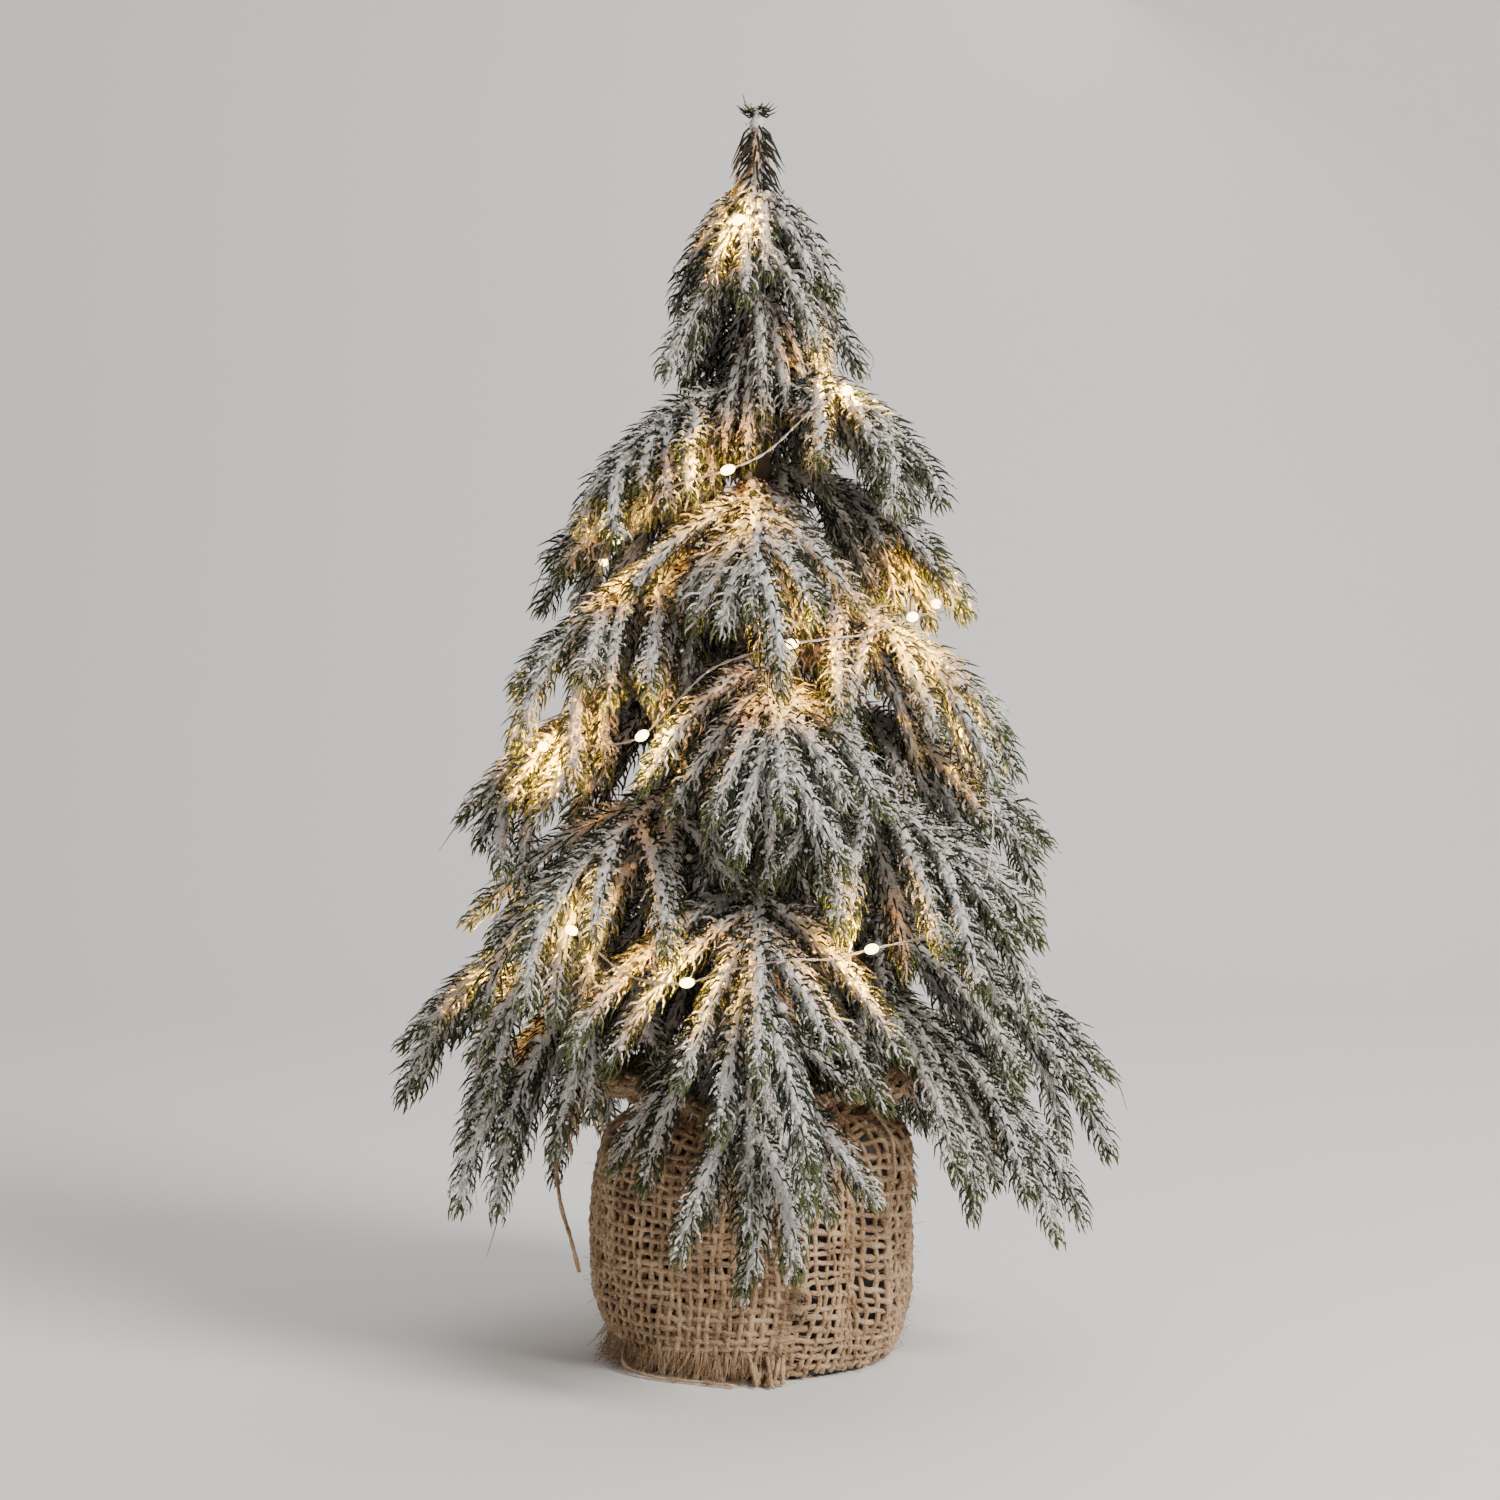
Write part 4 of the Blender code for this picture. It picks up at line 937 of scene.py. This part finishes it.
cuts = [at[lamps[0] - LEAD_STOPS], *(at[n] for n in lamps)]
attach(wire_piece("lead", 0, cuts[0]), "base")
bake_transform(wire_piece("wire_start", cuts[0], cuts[1]))
for number, (first, last) in enumerate(zip(cuts[1:], cuts[2:]), 1):
    middle = (first + last) // 2
    piece = wire_piece(f"wire_{number}_out", first, middle)
    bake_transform(piece)
    piece = wire_piece(f"wire_{number}_in", middle, last)
    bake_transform(piece)
print("lamps ride on", sorted(set(homes)))

# %% [markdown]
# ## The hessian wrap
# One length of hessian is wound one and a half times round the pot, so it lies double on the left, and its
# frayed free edge comes down the front. It is tied in at the neck and flares into a ragged collar. The
# cloth is woven here thread by thread: a surface says where the cloth lies, and each warp and weft thread
# runs over and under along it.

# %% Where the cloth lies
PITCH = 0.0037                  # from thread to thread
YARN_R = 0.00108
WEAVE = 0.00050                 # how far a thread lies in front of the cloth's middle, and behind it
CLOTH_R = 0.0545                # radius at which lengths round the pot are measured
WOUND, DOUBLE_TO = 530.0, 178.0     # degrees from the free edge: all of it, and what lies double
EDGE_TURN = -84.0               # where the free edge comes down
PLEAT_TURN, PLEAT = -52.0, 6.5  # where a deep fold stands, and half of what it takes up
LOWEST = 0.0014
TIE_R, TIE_HEIGHT = 0.0358, 0.0892
CLOTH_OUTLINE = [Vector((r, 0.0, z)) for r, z in (
    (0.0478, 0.0012), (0.0500, 0.0060), (0.0522, 0.0160), (0.0531, 0.0300), (0.0532, 0.0500),
    (0.0520, 0.0660), (0.0488, 0.0780), (0.0400, 0.0860), (TIE_R, TIE_HEIGHT), (0.0385, 0.0930),
    (0.0470, 0.0990), (0.0580, 0.1010), (0.0680, 0.0970), (0.0755, 0.0880), (0.0800, 0.0760),
    (0.0830, 0.0620), (0.0845, 0.0480))]
BULGES = (                      # height, turn and width of three bulges and a dent
    (0.0020, -69.0, 8.0), (0.0056, -41.0, 8.0), (0.0026, -18.0, 16.0), (-0.0022, -54.0, 3.5))
COLLAR_CORNERS = ((0.030, -8.0, 17.0), (0.018, 192.0, 16.0), (0.012, 95.0, 20.0))   # of the collar's corners
outline = np.array(smooth_line(CLOTH_OUTLINE, 0.0010), float)[:, (0, 2)]
reach = np.concatenate([[0.0], np.cumsum(np.linalg.norm(np.diff(outline, axis=0), axis=1))])
tie_at = float(reach[np.argmin(np.linalg.norm(outline - (TIE_R, TIE_HEIGHT), axis=1))])
slope = np.gradient(outline, reach, axis=0)
slope /= np.linalg.norm(slope, axis=1)[:, None]


def aside(turn, centre):
    """Degrees from centre to turn, between -180 and 180."""
    return (turn - centre + 180.0) % 360.0 - 180.0


def bell(away, width):
    """1 in the middle, falling off smoothly on both sides."""
    return np.exp(-(away / width) ** 2)


def humps(turn, table):
    return sum(height * bell(aside(turn, centre), width) for height, centre, width in table)


def rising(way, over):
    """0 up to a place, then rising to 1."""
    return np.clip(way / over, 0.0, 1.0)


def cloth(round_, up, lift=0.0):
    """The place on the cloth at degrees from its free edge and metres up from its hem."""
    turn = EDGE_TURN - round_
    r, z, dr, dz = (np.interp(up, reach, values) for values in (*outline.T, *slope.T))
    double = 1.0 / (1.0 + np.exp((round_ - DOUBLE_TO) / 9.0))
    body = rising(up - 0.004, 0.020) * rising(tie_at - up, 0.018)
    near_tie = bell(up - tie_at, 0.017) * (1.0 - 0.7 * bell(up - tie_at, 0.005))
    off_pleat = aside(turn, PLEAT_TURN)
    pleated = rising(up, 0.030) * rising(tie_at + 0.010 - up, 0.020)
    turn = turn - PLEAT * pleated * (np.tanh(off_pleat / 5.0) - off_pleat / 180.0)
    a = np.radians(turn)
    gathers = np.cos(17 * a + 2.2 * np.sin(3 * a)) + 0.5 * np.cos(29 * a + 1.0)
    waves = 0.0010 * np.sin(5 * a + 0.7) + 0.0007 * np.sin(11 * a + up * 90.0)
    creases = 0.0009 * np.cos(46 * a) * bell(aside(turn, -36.0), 14.0)
    heap = 0.0050 * double * bell(aside(turn, 188.0), 26.0)
    shoulder = 0.0040 * bell(up - tie_at + 0.020, 0.012) * bell(aside(turn, -18.0), 34.0)
    past_tie = np.clip((up - tie_at) / 0.040, 0.0, 1.5)
    ruffle = np.sin(6 * a + 0.4) + 0.6 * np.sin(11 * a + 1.9) + 0.4 * np.sin(19 * a)
    stand = lift + 0.0014 * double * (0.5 + 0.5 * body) + 0.0020 * near_tie * gathers + shoulder
    stand += body * (humps(turn, BULGES) + heap + waves + creases) + 0.0042 * past_tie * ruffle
    r, z = r + stand * dz, z - stand * dr
    r = r + past_tie * 0.0030 * np.cos(7 * a + 1.0)
    return np.stack([r * np.cos(a), r * np.sin(a), np.maximum(z, LOWEST)], axis=-1)


def on_cloth(round_, up, lift=0.0):
    """One place on the cloth."""
    return Vector(cloth(np.array([round_]), np.array([up]), lift)[0])


def collar_reach(turn):
    """How far the cloth runs past the tie: a ragged edge with longer corners."""
    a = math.radians(turn)
    ragged = 0.004 * math.sin(3 * a + 1.0) + 0.003 * math.sin(8 * a)
    return 0.030 + ragged + float(humps(turn, COLLAR_CORNERS))


def tilt(round_):
    """How far the rows climb: on the front they slant up to the right, where the tie pulls the cloth."""
    return 0.0085 * float(np.interp(round_ - 200.0, [0.0, 90.0, 150.0, 200.0], [0.0, 0.25, 1.0, 0.35]))


# %% [markdown]
# A thread's thickness changes along its length as spun jute does, and threads stray a little sideways. At
# the hem on the left the lowest rows have frayed away, which leaves the ends of the warp hanging as a
# fringe.

# %% Warp and weft
STEP_ROUND = math.degrees(PITCH / CLOTH_R)          # degrees from one warp thread to the next
FRAYED_ROWS, FRAYED_ROUND, OUTER_ROUND = 3, 170.0, 150.0
LOOSE_END = 0.012
rounds = np.arange(0.0, WOUND, STEP_ROUND)
rows = range(-4, 44)
yarn = random.Random(7)


def thickness_along(count, stray):
    values = np.array([stray.uniform(0.78, 1.22) for _ in range(count // 3 + 4)])
    return YARN_R * np.interp(np.arange(count) / 3.0, np.arange(len(values)), values)


def cloth_top(round_):
    return tie_at + collar_reach(EDGE_TURN - round_)


def first_row(round_):
    """The lowest row of weft that is left at a place: the outer turn of the cloth has frayed."""
    return FRAYED_ROWS * PITCH * max(0.0, 1.0 - round_ / FRAYED_ROUND)


def warp_stops(i, round_, low, top):
    """Heights on a warp thread, and whether it lies over or under the weft there."""
    stops = [(low, 0.0)] if low < 0.0 else [(low + 0.0002, 0.0)]
    for j in rows:
        up = j * PITCH + tilt(round_)
        if low < up < top:
            over = 1.0 if (i + j) % 2 else -1.0
            stops += [(up, over if up > first_row(round_) else 0.3), (up + PITCH / 2, 0.0)]
    return np.array([stop for stop in stops if stop[0] < top] + [(top, 0.0)]).T


def warp_thread(i, round_):
    top = cloth_top(round_) + yarn.uniform(-0.003, 0.004)
    low = yarn.uniform(0.0, 0.0015) if round_ > OUTER_ROUND else yarn.uniform(-0.002, 0.003)
    ups, overs = warp_stops(i, round_, low, top)
    drift = np.array([yarn.gauss(0.0, 0.55) for _ in range(len(ups) // 4 + 3)])
    off = np.interp(np.arange(len(ups)) / 4.0, np.arange(len(drift)), drift)
    loosened = rising(ups - top + LOOSE_END, LOOSE_END) ** 2
    off = off + loosened * yarn.uniform(-2.5, 2.5)
    lifted = WEAVE * overs + loosened * yarn.uniform(-0.002, 0.003)
    places = cloth(round_ + off, np.maximum(ups, 0.0), lifted)
    if low < 0.0:
        places[0, :2] *= 1.0 + yarn.uniform(0.001, 0.005) / np.linalg.norm(places[0, :2])
    return [Vector(place) for place in places], thickness_along(len(ups), yarn)


def weft_runs(j):
    """The stretches of a row that are inside the cloth: degrees, heights, and over or under."""
    runs, run = [], []
    for i, round_ in enumerate([-yarn.uniform(0.5, 6.0), *rounds], -1):
        up = j * PITCH + tilt(round_)
        if first_row(max(round_, 0.0)) < up < cloth_top(round_) - 0.001 and up > 0.0006:
            up += 0.0007 * math.sin(0.045 * round_ + 0.7 * j) + 0.0005 * math.sin(0.11 * round_ + 2.1 * j)
            run.append((round_, up + yarn.gauss(0.0, 0.00028), -1.0 if (i + j) % 2 else 1.0))
            run.append((round_ + STEP_ROUND / 2, up + yarn.gauss(0.0, 0.00022), 0.0))
        else:
            runs.append(run)
            run = []
    return [np.array(run) for run in (*runs, run) if len(run) > 3]


threads = [warp_thread(i, round_) for i, round_ in enumerate(rounds)]
weft = [run for j in rows for run in weft_runs(j)]
for run in weft:
    places = cloth(run[:, 0], run[:, 1], WEAVE * run[:, 2])
    threads.append(([Vector(place) for place in places], thickness_along(len(run), yarn)))
print("warp", len(rounds), "weft", len(weft))

# %% [markdown]
# Jute is a dull golden brown, darker in some places and paler in others, at random. One colour ramp over
# the shared speckle gives both the hessian and, with darker colours, the twine.

# %% Hessian material and cloth
def jute(name, dark, mid, pale):
    made, shader = finish(name, mid, 0.92, Specular_IOR_Level=0.15, Sheen_Weight=0.25)
    tree = made.node_tree
    grains = placed(tree, SPECKLE, Grains_per_metre=1500.0, Drift_per_metre=140.0)
    ramp = node(tree, "ShaderNodeValToRGB")
    ramp.color_ramp.elements[0].position, ramp.color_ramp.elements[0].color = 0.34, (*dark, 1.0)
    ramp.color_ramp.elements[1].position, ramp.color_ramp.elements[1].color = 0.70, (*pale, 1.0)
    ramp.color_ramp.elements.new(0.50).color = (*mid, 1.0)
    mixed_noise = maths(tree, "ADD", maths(tree, "MULTIPLY", grains.outputs["Grain"], 0.55),
                        maths(tree, "MULTIPLY", grains.outputs["Drift"], 0.45))
    tree.links.new(mixed_noise, ramp.inputs[0])
    tree.links.new(ramp.outputs[0], shader.inputs["Base Color"])
    bump(tree, shader, grains.outputs["Grain"], 0.0005, 0.8)
    return made


HESSIAN = jute("hessian_yarn", (0.15, 0.085, 0.042), (0.42, 0.27, 0.15), (0.70, 0.53, 0.34))
TWINE = jute("twine_yarn", (0.06, 0.032, 0.016), (0.19, 0.105, 0.052), (0.36, 0.22, 0.12))
wrap = put("hessian_cloth", tube_mesh(threads, 4))
wrap.data.materials.append(HESSIAN)
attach(wrap, "base")
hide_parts("hessian_wrap")


def hair(start, way, long, stray, bend=0.5):
    """A fine curved fibre."""
    points, here, way = [start], start.copy(), way.normalized()
    turn = any_way(stray) * bend
    for _ in range(3):
        way = (way + turn / 3).normalized()
        here = here + way * (long / 3)
        points.append(Vector((here.x, here.y, max(here.z, 0.0006))))
    return points


def outwards(place):
    return Vector((place.x, place.y, 0.0)).normalized()


# %% [markdown]
# Fine hairs stand off the cloth everywhere. A hair system would be quicker to set up, but wouldn't reach
# the exported model. Thin bent tubes are plain meshes: they stand off the threads all over, hang from the
# frayed hem and stick out of the free edge.

# %% Fuzz all over, at the frayed hem and at the free edge
ALL_OVER, AT_HEM, AT_EDGE = 3600, 420, 260
fibres = []
for _ in range(ALL_OVER):
    line, radii = threads[yarn.randrange(len(threads))]
    here = line[yarn.randrange(len(line))]
    way = outwards(here) * yarn.uniform(0.1, 1.0) + any_way(yarn) * 0.8
    fibres.append((hair(here, way, yarn.uniform(0.002, 0.007), yarn), [yarn.uniform(0.00004, 0.00009)] * 4))
for _ in range(AT_HEM):
    here = on_cloth(yarn.uniform(0.0, 150.0) * yarn.random() ** 0.5, yarn.uniform(0.001, 0.012), 0.0008)
    way = outwards(here) * yarn.uniform(0.1, 0.7) + Vector((0, 0, -1))
    long = yarn.uniform(0.006, 0.013)
    fibres.append((hair(here, way, long, yarn, 0.35), [yarn.uniform(0.00007, 0.00013)] * 4))
for _ in range(AT_EDGE):
    here = on_cloth(yarn.uniform(-2.0, 5.0), yarn.uniform(0.002, 0.085), 0.001)
    way = Vector((0.9, -0.25, yarn.uniform(-0.7, 0.3)))
    long = yarn.uniform(0.003, 0.009)
    fibres.append((hair(here, way, long, yarn, 0.6), [yarn.uniform(0.00006, 0.00012)] * 4))
fuzz = put("hessian_fuzz", tube_mesh(fibres, 4))
fuzz.data.materials.append(HESSIAN)
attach(fuzz, "base")

# %% [markdown]
# Loose ends: a long thread that has slipped out at the left, one that curls on the table at the front left,
# a tuft at the corner of the free edge, and strays at the right. The long ones are listed one by one, because
# they catch the eye, and the tufts are scattered.

# %% Loose threads
def loose(points, thick=0.75):
    """A thread along a few places, this thick against a woven one."""
    line = smooth_line([Vector(point) for point in points], 0.0015)
    return (line, [YARN_R * thick * yarn.uniform(0.75, 1.2) for _ in line])


strays = [
    loose([(-0.064, -0.012, 0.092), (-0.071, -0.020, 0.078), (-0.070, -0.024, 0.060), (-0.066, -0.026, 0.046),
           (-0.063, -0.026, 0.034)]),
    loose([(-0.046, -0.020, 0.010), (-0.047, -0.034, 0.0030), (-0.036, -0.046, 0.0012),
           (-0.020, -0.054, 0.0012), (-0.008, -0.060, 0.0012)], 0.55),
    loose([(0.046, -0.030, 0.086), (0.052, -0.034, 0.076), (0.056, -0.035, 0.066)], 0.6),
    loose([(0.040, -0.036, 0.094), (0.047, -0.040, 0.084), (0.048, -0.042, 0.070)], 0.5),
]
AT_CORNER, AT_COLLAR = 12, 26
for _ in range(AT_CORNER):
    start = on_cloth(yarn.uniform(-3.0, 12.0), yarn.uniform(0.004, 0.012), 0.0006)
    reach_out = Vector((yarn.uniform(-0.004, 0.006), yarn.uniform(-0.009, -0.003), 0.0))
    foot = Vector((start.x, start.y, 0.0009)) + reach_out
    strays.append(loose([start, start.lerp(foot, 0.5) + Vector((0, -0.0015, 0.001)), foot]))
for _ in range(AT_COLLAR):
    turn = yarn.choice((-8.0, 192.0)) + yarn.gauss(0.0, 9.0)
    start = on_cloth(EDGE_TURN - turn, tie_at + collar_reach(turn) - 0.006)
    down = Vector((yarn.gauss(0, 0.0025), yarn.gauss(0, 0.0025), -yarn.uniform(0.008, 0.018)))
    strays.append(loose([start, start + down * 0.5 + outwards(start) * 0.002, start + down], 0.55))
ends = put("loose_threads", tube_mesh(strays, 6))
ends.data.materials.append(HESSIAN)
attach(ends, "base")

# %% [markdown]
# ## The jute tie
# Two-ply twine goes twice round the neck and is knotted at the front right, with two loops and two ends.
# Each ply is a tube of its own, wound round the other, so the twist shows at the outline too, where a bump
# on one tube wouldn't.

# %% Twine
PLY_R, PLY_TWIST = 0.00082, 0.00625
NECK_R, TIE_Z, KNOT_TURN = 0.0392, 0.0890, -48.0
COIL_STEPS, COIL_TURN, COIL_CLIMB = 74, 10.0, 0.0030
KNOT_LINES = (      # the knot, two loops and two ends, in mm across, outward from and above the knot
    ((-4, -2, -1), (-1, 1, 1), (3, 0, 1), (3, -2, -1), (0, 1, -1.5), (-3, 0, 1.5)),
    ((0, 0, 0), (6, 4, 8), (14, 6, 13), (19, 5, 7), (14, 4, 1), (6, 3, 0), (0, 1, 0)),
    ((0, 0, 0), (-5, 3, 5), (-11, 5, 9), (-15, 4, 3), (-11, 3, -2), (-5, 2, -1), (0, 0, 0)),
    ((1, 1, 0), (4, 4, -8), (6, 4, -18), (9, 3, -26)),
    ((-1, 1, 0), (-3, 4, -6), (-4, 4, -14), (-8, 2, -20)),
)


def plied(points):
    """Two plies wound round each other along a path."""
    line = smooth_line(points, 0.0010)
    plies = wound_pair(line, PLY_R * 0.85, PLY_TWIST, Vector((0.1, 0.2, 1.0)))
    return [(ply, [PLY_R * yarn.uniform(0.9, 1.1) for _ in ply]) for ply in plies]


coil = []
for n in range(COIL_STEPS + 1):
    out = NECK_R + 0.0004 * math.sin(n * 1.7)
    up = TIE_Z - 0.0014 + COIL_CLIMB * n / COIL_STEPS + 0.0004 * math.sin(n * 0.9)
    coil.append(heading(KNOT_TURN + n * COIL_TURN, 0.0) * out + Vector((0, 0, up)))
knot = heading(KNOT_TURN, 0.0) * (NECK_R + 0.0032) + Vector((0, 0, TIE_Z))
across, outward, upward = heading(KNOT_TURN + 90.0, 0.0), heading(KNOT_TURN, 0.0), Vector((0, 0, 1))
twine_lines = plied(coil)
for line in KNOT_LINES:
    twine_lines += plied([knot + (across * a + outward * b + upward * c) * 0.001 for a, b, c in line])
twine = put("jute_tie", tube_mesh(twine_lines, 6))
twine.data.materials.append(TWINE)
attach(twine, "base")
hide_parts("twine_tie")
print("twine triangles", triangles(twine))

# %% [markdown]
# ## The plain pieces
# The pot, its weight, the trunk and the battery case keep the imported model's shapes. They are mostly
# hidden, so a finish that drifts between two colours with a fine grain is enough, and only the trunk's tape
# has bands.

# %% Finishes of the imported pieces
def varied(name, colour, other, roughness, metallic=0.0, grains_per_m=500.0, distance=0.0001):
    """A finish that drifts between two colours, with a fine grain."""
    made, shader = finish(name, colour, roughness, metallic)
    tree = made.node_tree
    grains = placed(tree, SPECKLE, Grains_per_metre=grains_per_m, Drift_per_metre=60.0)
    tree.links.new(mixed(tree, grains.outputs["Drift"], colour, other), shader.inputs["Base Color"])
    rough = maths(tree, "ADD", roughness - 0.06, maths(tree, "MULTIPLY", grains.outputs["Grain"], 0.12))
    tree.links.new(rough, shader.inputs["Roughness"])
    bump(tree, shader, grains.outputs["Grain"], distance, 0.5)
    return made


def banded(name, colour, other, roughness, per_m):
    """Tape wound in overlapping bands."""
    made, shader = finish(name, colour, roughness)
    tree = made.node_tree
    place = node(tree, "ShaderNodeTexCoord").outputs["Object"]
    wave = node(tree, "ShaderNodeTexWave", bands_direction="Z", wave_profile="SAW")
    wave.inputs["Scale"].default_value = per_m
    wave.inputs["Distortion"].default_value = 1.5
    tree.links.new(place, wave.inputs["Vector"])
    tree.links.new(mixed(tree, wave.outputs["Fac"], colour, other), shader.inputs["Base Color"])
    bump(tree, shader, wave.outputs["Fac"], 0.0004, 0.7)
    return made


FINISHES = {
    "pot": varied("pot_black", (0.030, 0.025, 0.021), (0.050, 0.040, 0.033), 0.60),
    "cast_weight": varied("cast_plaster", (0.50, 0.48, 0.44), (0.60, 0.58, 0.54), 0.90, 0.0, 900.0, 0.0004),
    "trunk_rod": varied("rod_steel", (0.42, 0.41, 0.40), (0.55, 0.54, 0.52), 0.38, 1.0),
    "trunk_tape": banded("crepe_tape", (0.075, 0.045, 0.025), (0.13, 0.085, 0.050), 0.85, 26.0),
    "case": varied("case_shell", (0.66, 0.65, 0.61), (0.72, 0.71, 0.68), 0.45),
    "screw": varied("screw_steel", (0.50, 0.50, 0.50), (0.62, 0.61, 0.60), 0.30, 1.0),
    "cell": varied("cell_sleeve", (0.10, 0.18, 0.30), (0.12, 0.21, 0.35), 0.35),
    "contact": varied("nickel", (0.66, 0.64, 0.60), (0.74, 0.72, 0.68), 0.25, 1.0),
    "timer_board": varied("board_green", (0.015, 0.13, 0.05), (0.03, 0.17, 0.07), 0.45),
    "switch_can": varied("switch_steel", (0.55, 0.55, 0.55), (0.65, 0.65, 0.64), 0.32, 1.0),
    "switch_knob": varied("knob_black", (0.03, 0.03, 0.03), (0.045, 0.045, 0.045), 0.5),
}
WEARS = {
    "battery_case": "case", "battery_door": "case", "case_screw_1": "screw", "case_screw_2": "screw",
    "cell_1": "cell", "cell_2": "cell", "bridge_contact": "contact", "spring_contact": "contact",
    "plate_contact": "contact",
}
kept = [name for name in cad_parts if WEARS.get(name, name) in FINISHES]
for name in kept:
    for place in bpy.data.objects[name].material_slots:
        place.material = FINISHES[WEARS.get(name, name)]
print("packed pieces that stay", kept)

# %% [markdown]
# ## Light and camera
# A large soft light from the right, weak ones from the left, from above and from behind, and a pale floor
# that curves up behind, as in a plain studio.

# %% Stage, lights and camera
FLOOR_SIDE, FLOOR_FRONT, FLOOR_BACK, BEND_R, WALL_TOP = 5.0, -4.0, 1.0, 0.5, 2.2
BEND_STEPS = 10


def stage():
    bm = bmesh.new()
    path = [(FLOOR_FRONT, 0.0), (FLOOR_BACK, 0.0)]
    for n in range(1, BEND_STEPS + 1):
        a = math.pi / 2 * n / BEND_STEPS
        path.append((FLOOR_BACK + BEND_R * math.sin(a), BEND_R - BEND_R * math.cos(a)))
    path.append((FLOOR_BACK + BEND_R, WALL_TOP))
    points = [bm.verts.new((-FLOOR_SIDE, y, z)) for y, z in path]
    edges = [bm.edges.new(pair) for pair in zip(points, points[1:])]
    swept = bmesh.ops.extrude_edge_only(bm, edges=edges)["geom"]
    far = [item for item in swept if isinstance(item, bmesh.types.BMVert)]
    bmesh.ops.translate(bm, vec=(2 * FLOOR_SIDE, 0, 0), verts=far)
    mesh = smooth_mesh("floor", bm)
    mesh.materials.append(finish("pale_floor", (0.82, 0.795, 0.770), 0.9)[0])
    put("floor", mesh)


def area_light(name, place, size, watts, colour=(1.0, 1.0, 1.0)):
    """A square light that looks at the middle of the tree."""
    lamp = bpy.data.lights.new(name, "AREA")
    lamp.shape = "RECTANGLE"
    lamp.size = lamp.size_y = size
    lamp.energy, lamp.color = watts, colour
    made = put(name, lamp)
    made.location = place
    made.rotation_euler = (Vector((0.0, 0.0, 0.2)) - Vector(place)).to_track_quat("-Z", "Y").to_euler()


stage()
area_light("window", (1.1, -1.0, 1.1), 0.7, 47.0, (1.0, 0.98, 0.95))
area_light("fill", (-1.2, -1.2, 0.8), 1.4, 4.0, (0.96, 0.97, 1.0))
area_light("sky", (0.0, 0.1, 1.8), 1.6, 9.0)
area_light("behind", (0.5, 0.9, 1.2), 1.2, 7.0)
world = bpy.data.worlds.new("room")
world.use_nodes = True
world.node_tree.nodes["Background"].inputs["Color"].default_value = (0.87, 0.85, 0.83, 1.0)
world.node_tree.nodes["Background"].inputs["Strength"].default_value = 0.20
bpy.context.scene.world = world

CAMERA_AWAY, CAMERA_HEIGHT, FRAME_WIDTH, SENSOR = 1.20, 0.27, 0.539, 36.0
AIM = Vector((-0.0025, 0.0, 0.218))
camera = bpy.data.cameras.new("camera")
camera.sensor_width = SENSOR
camera.lens = SENSOR * CAMERA_AWAY / FRAME_WIDTH
eye = put("camera", camera)
eye.location = (AIM.x, -CAMERA_AWAY, CAMERA_HEIGHT)
eye.rotation_euler = (AIM - eye.location).to_track_quat("-Z", "Y").to_euler()
bpy.context.scene.camera = eye

# %% [markdown]
# ## Finish
# The needle, the crumb and the lump were only moulds, so they go. The looks may stand only a little proud
# of the imported model.

# %% The end
for shape in MOULDS:
    bpy.data.objects.remove(shape)
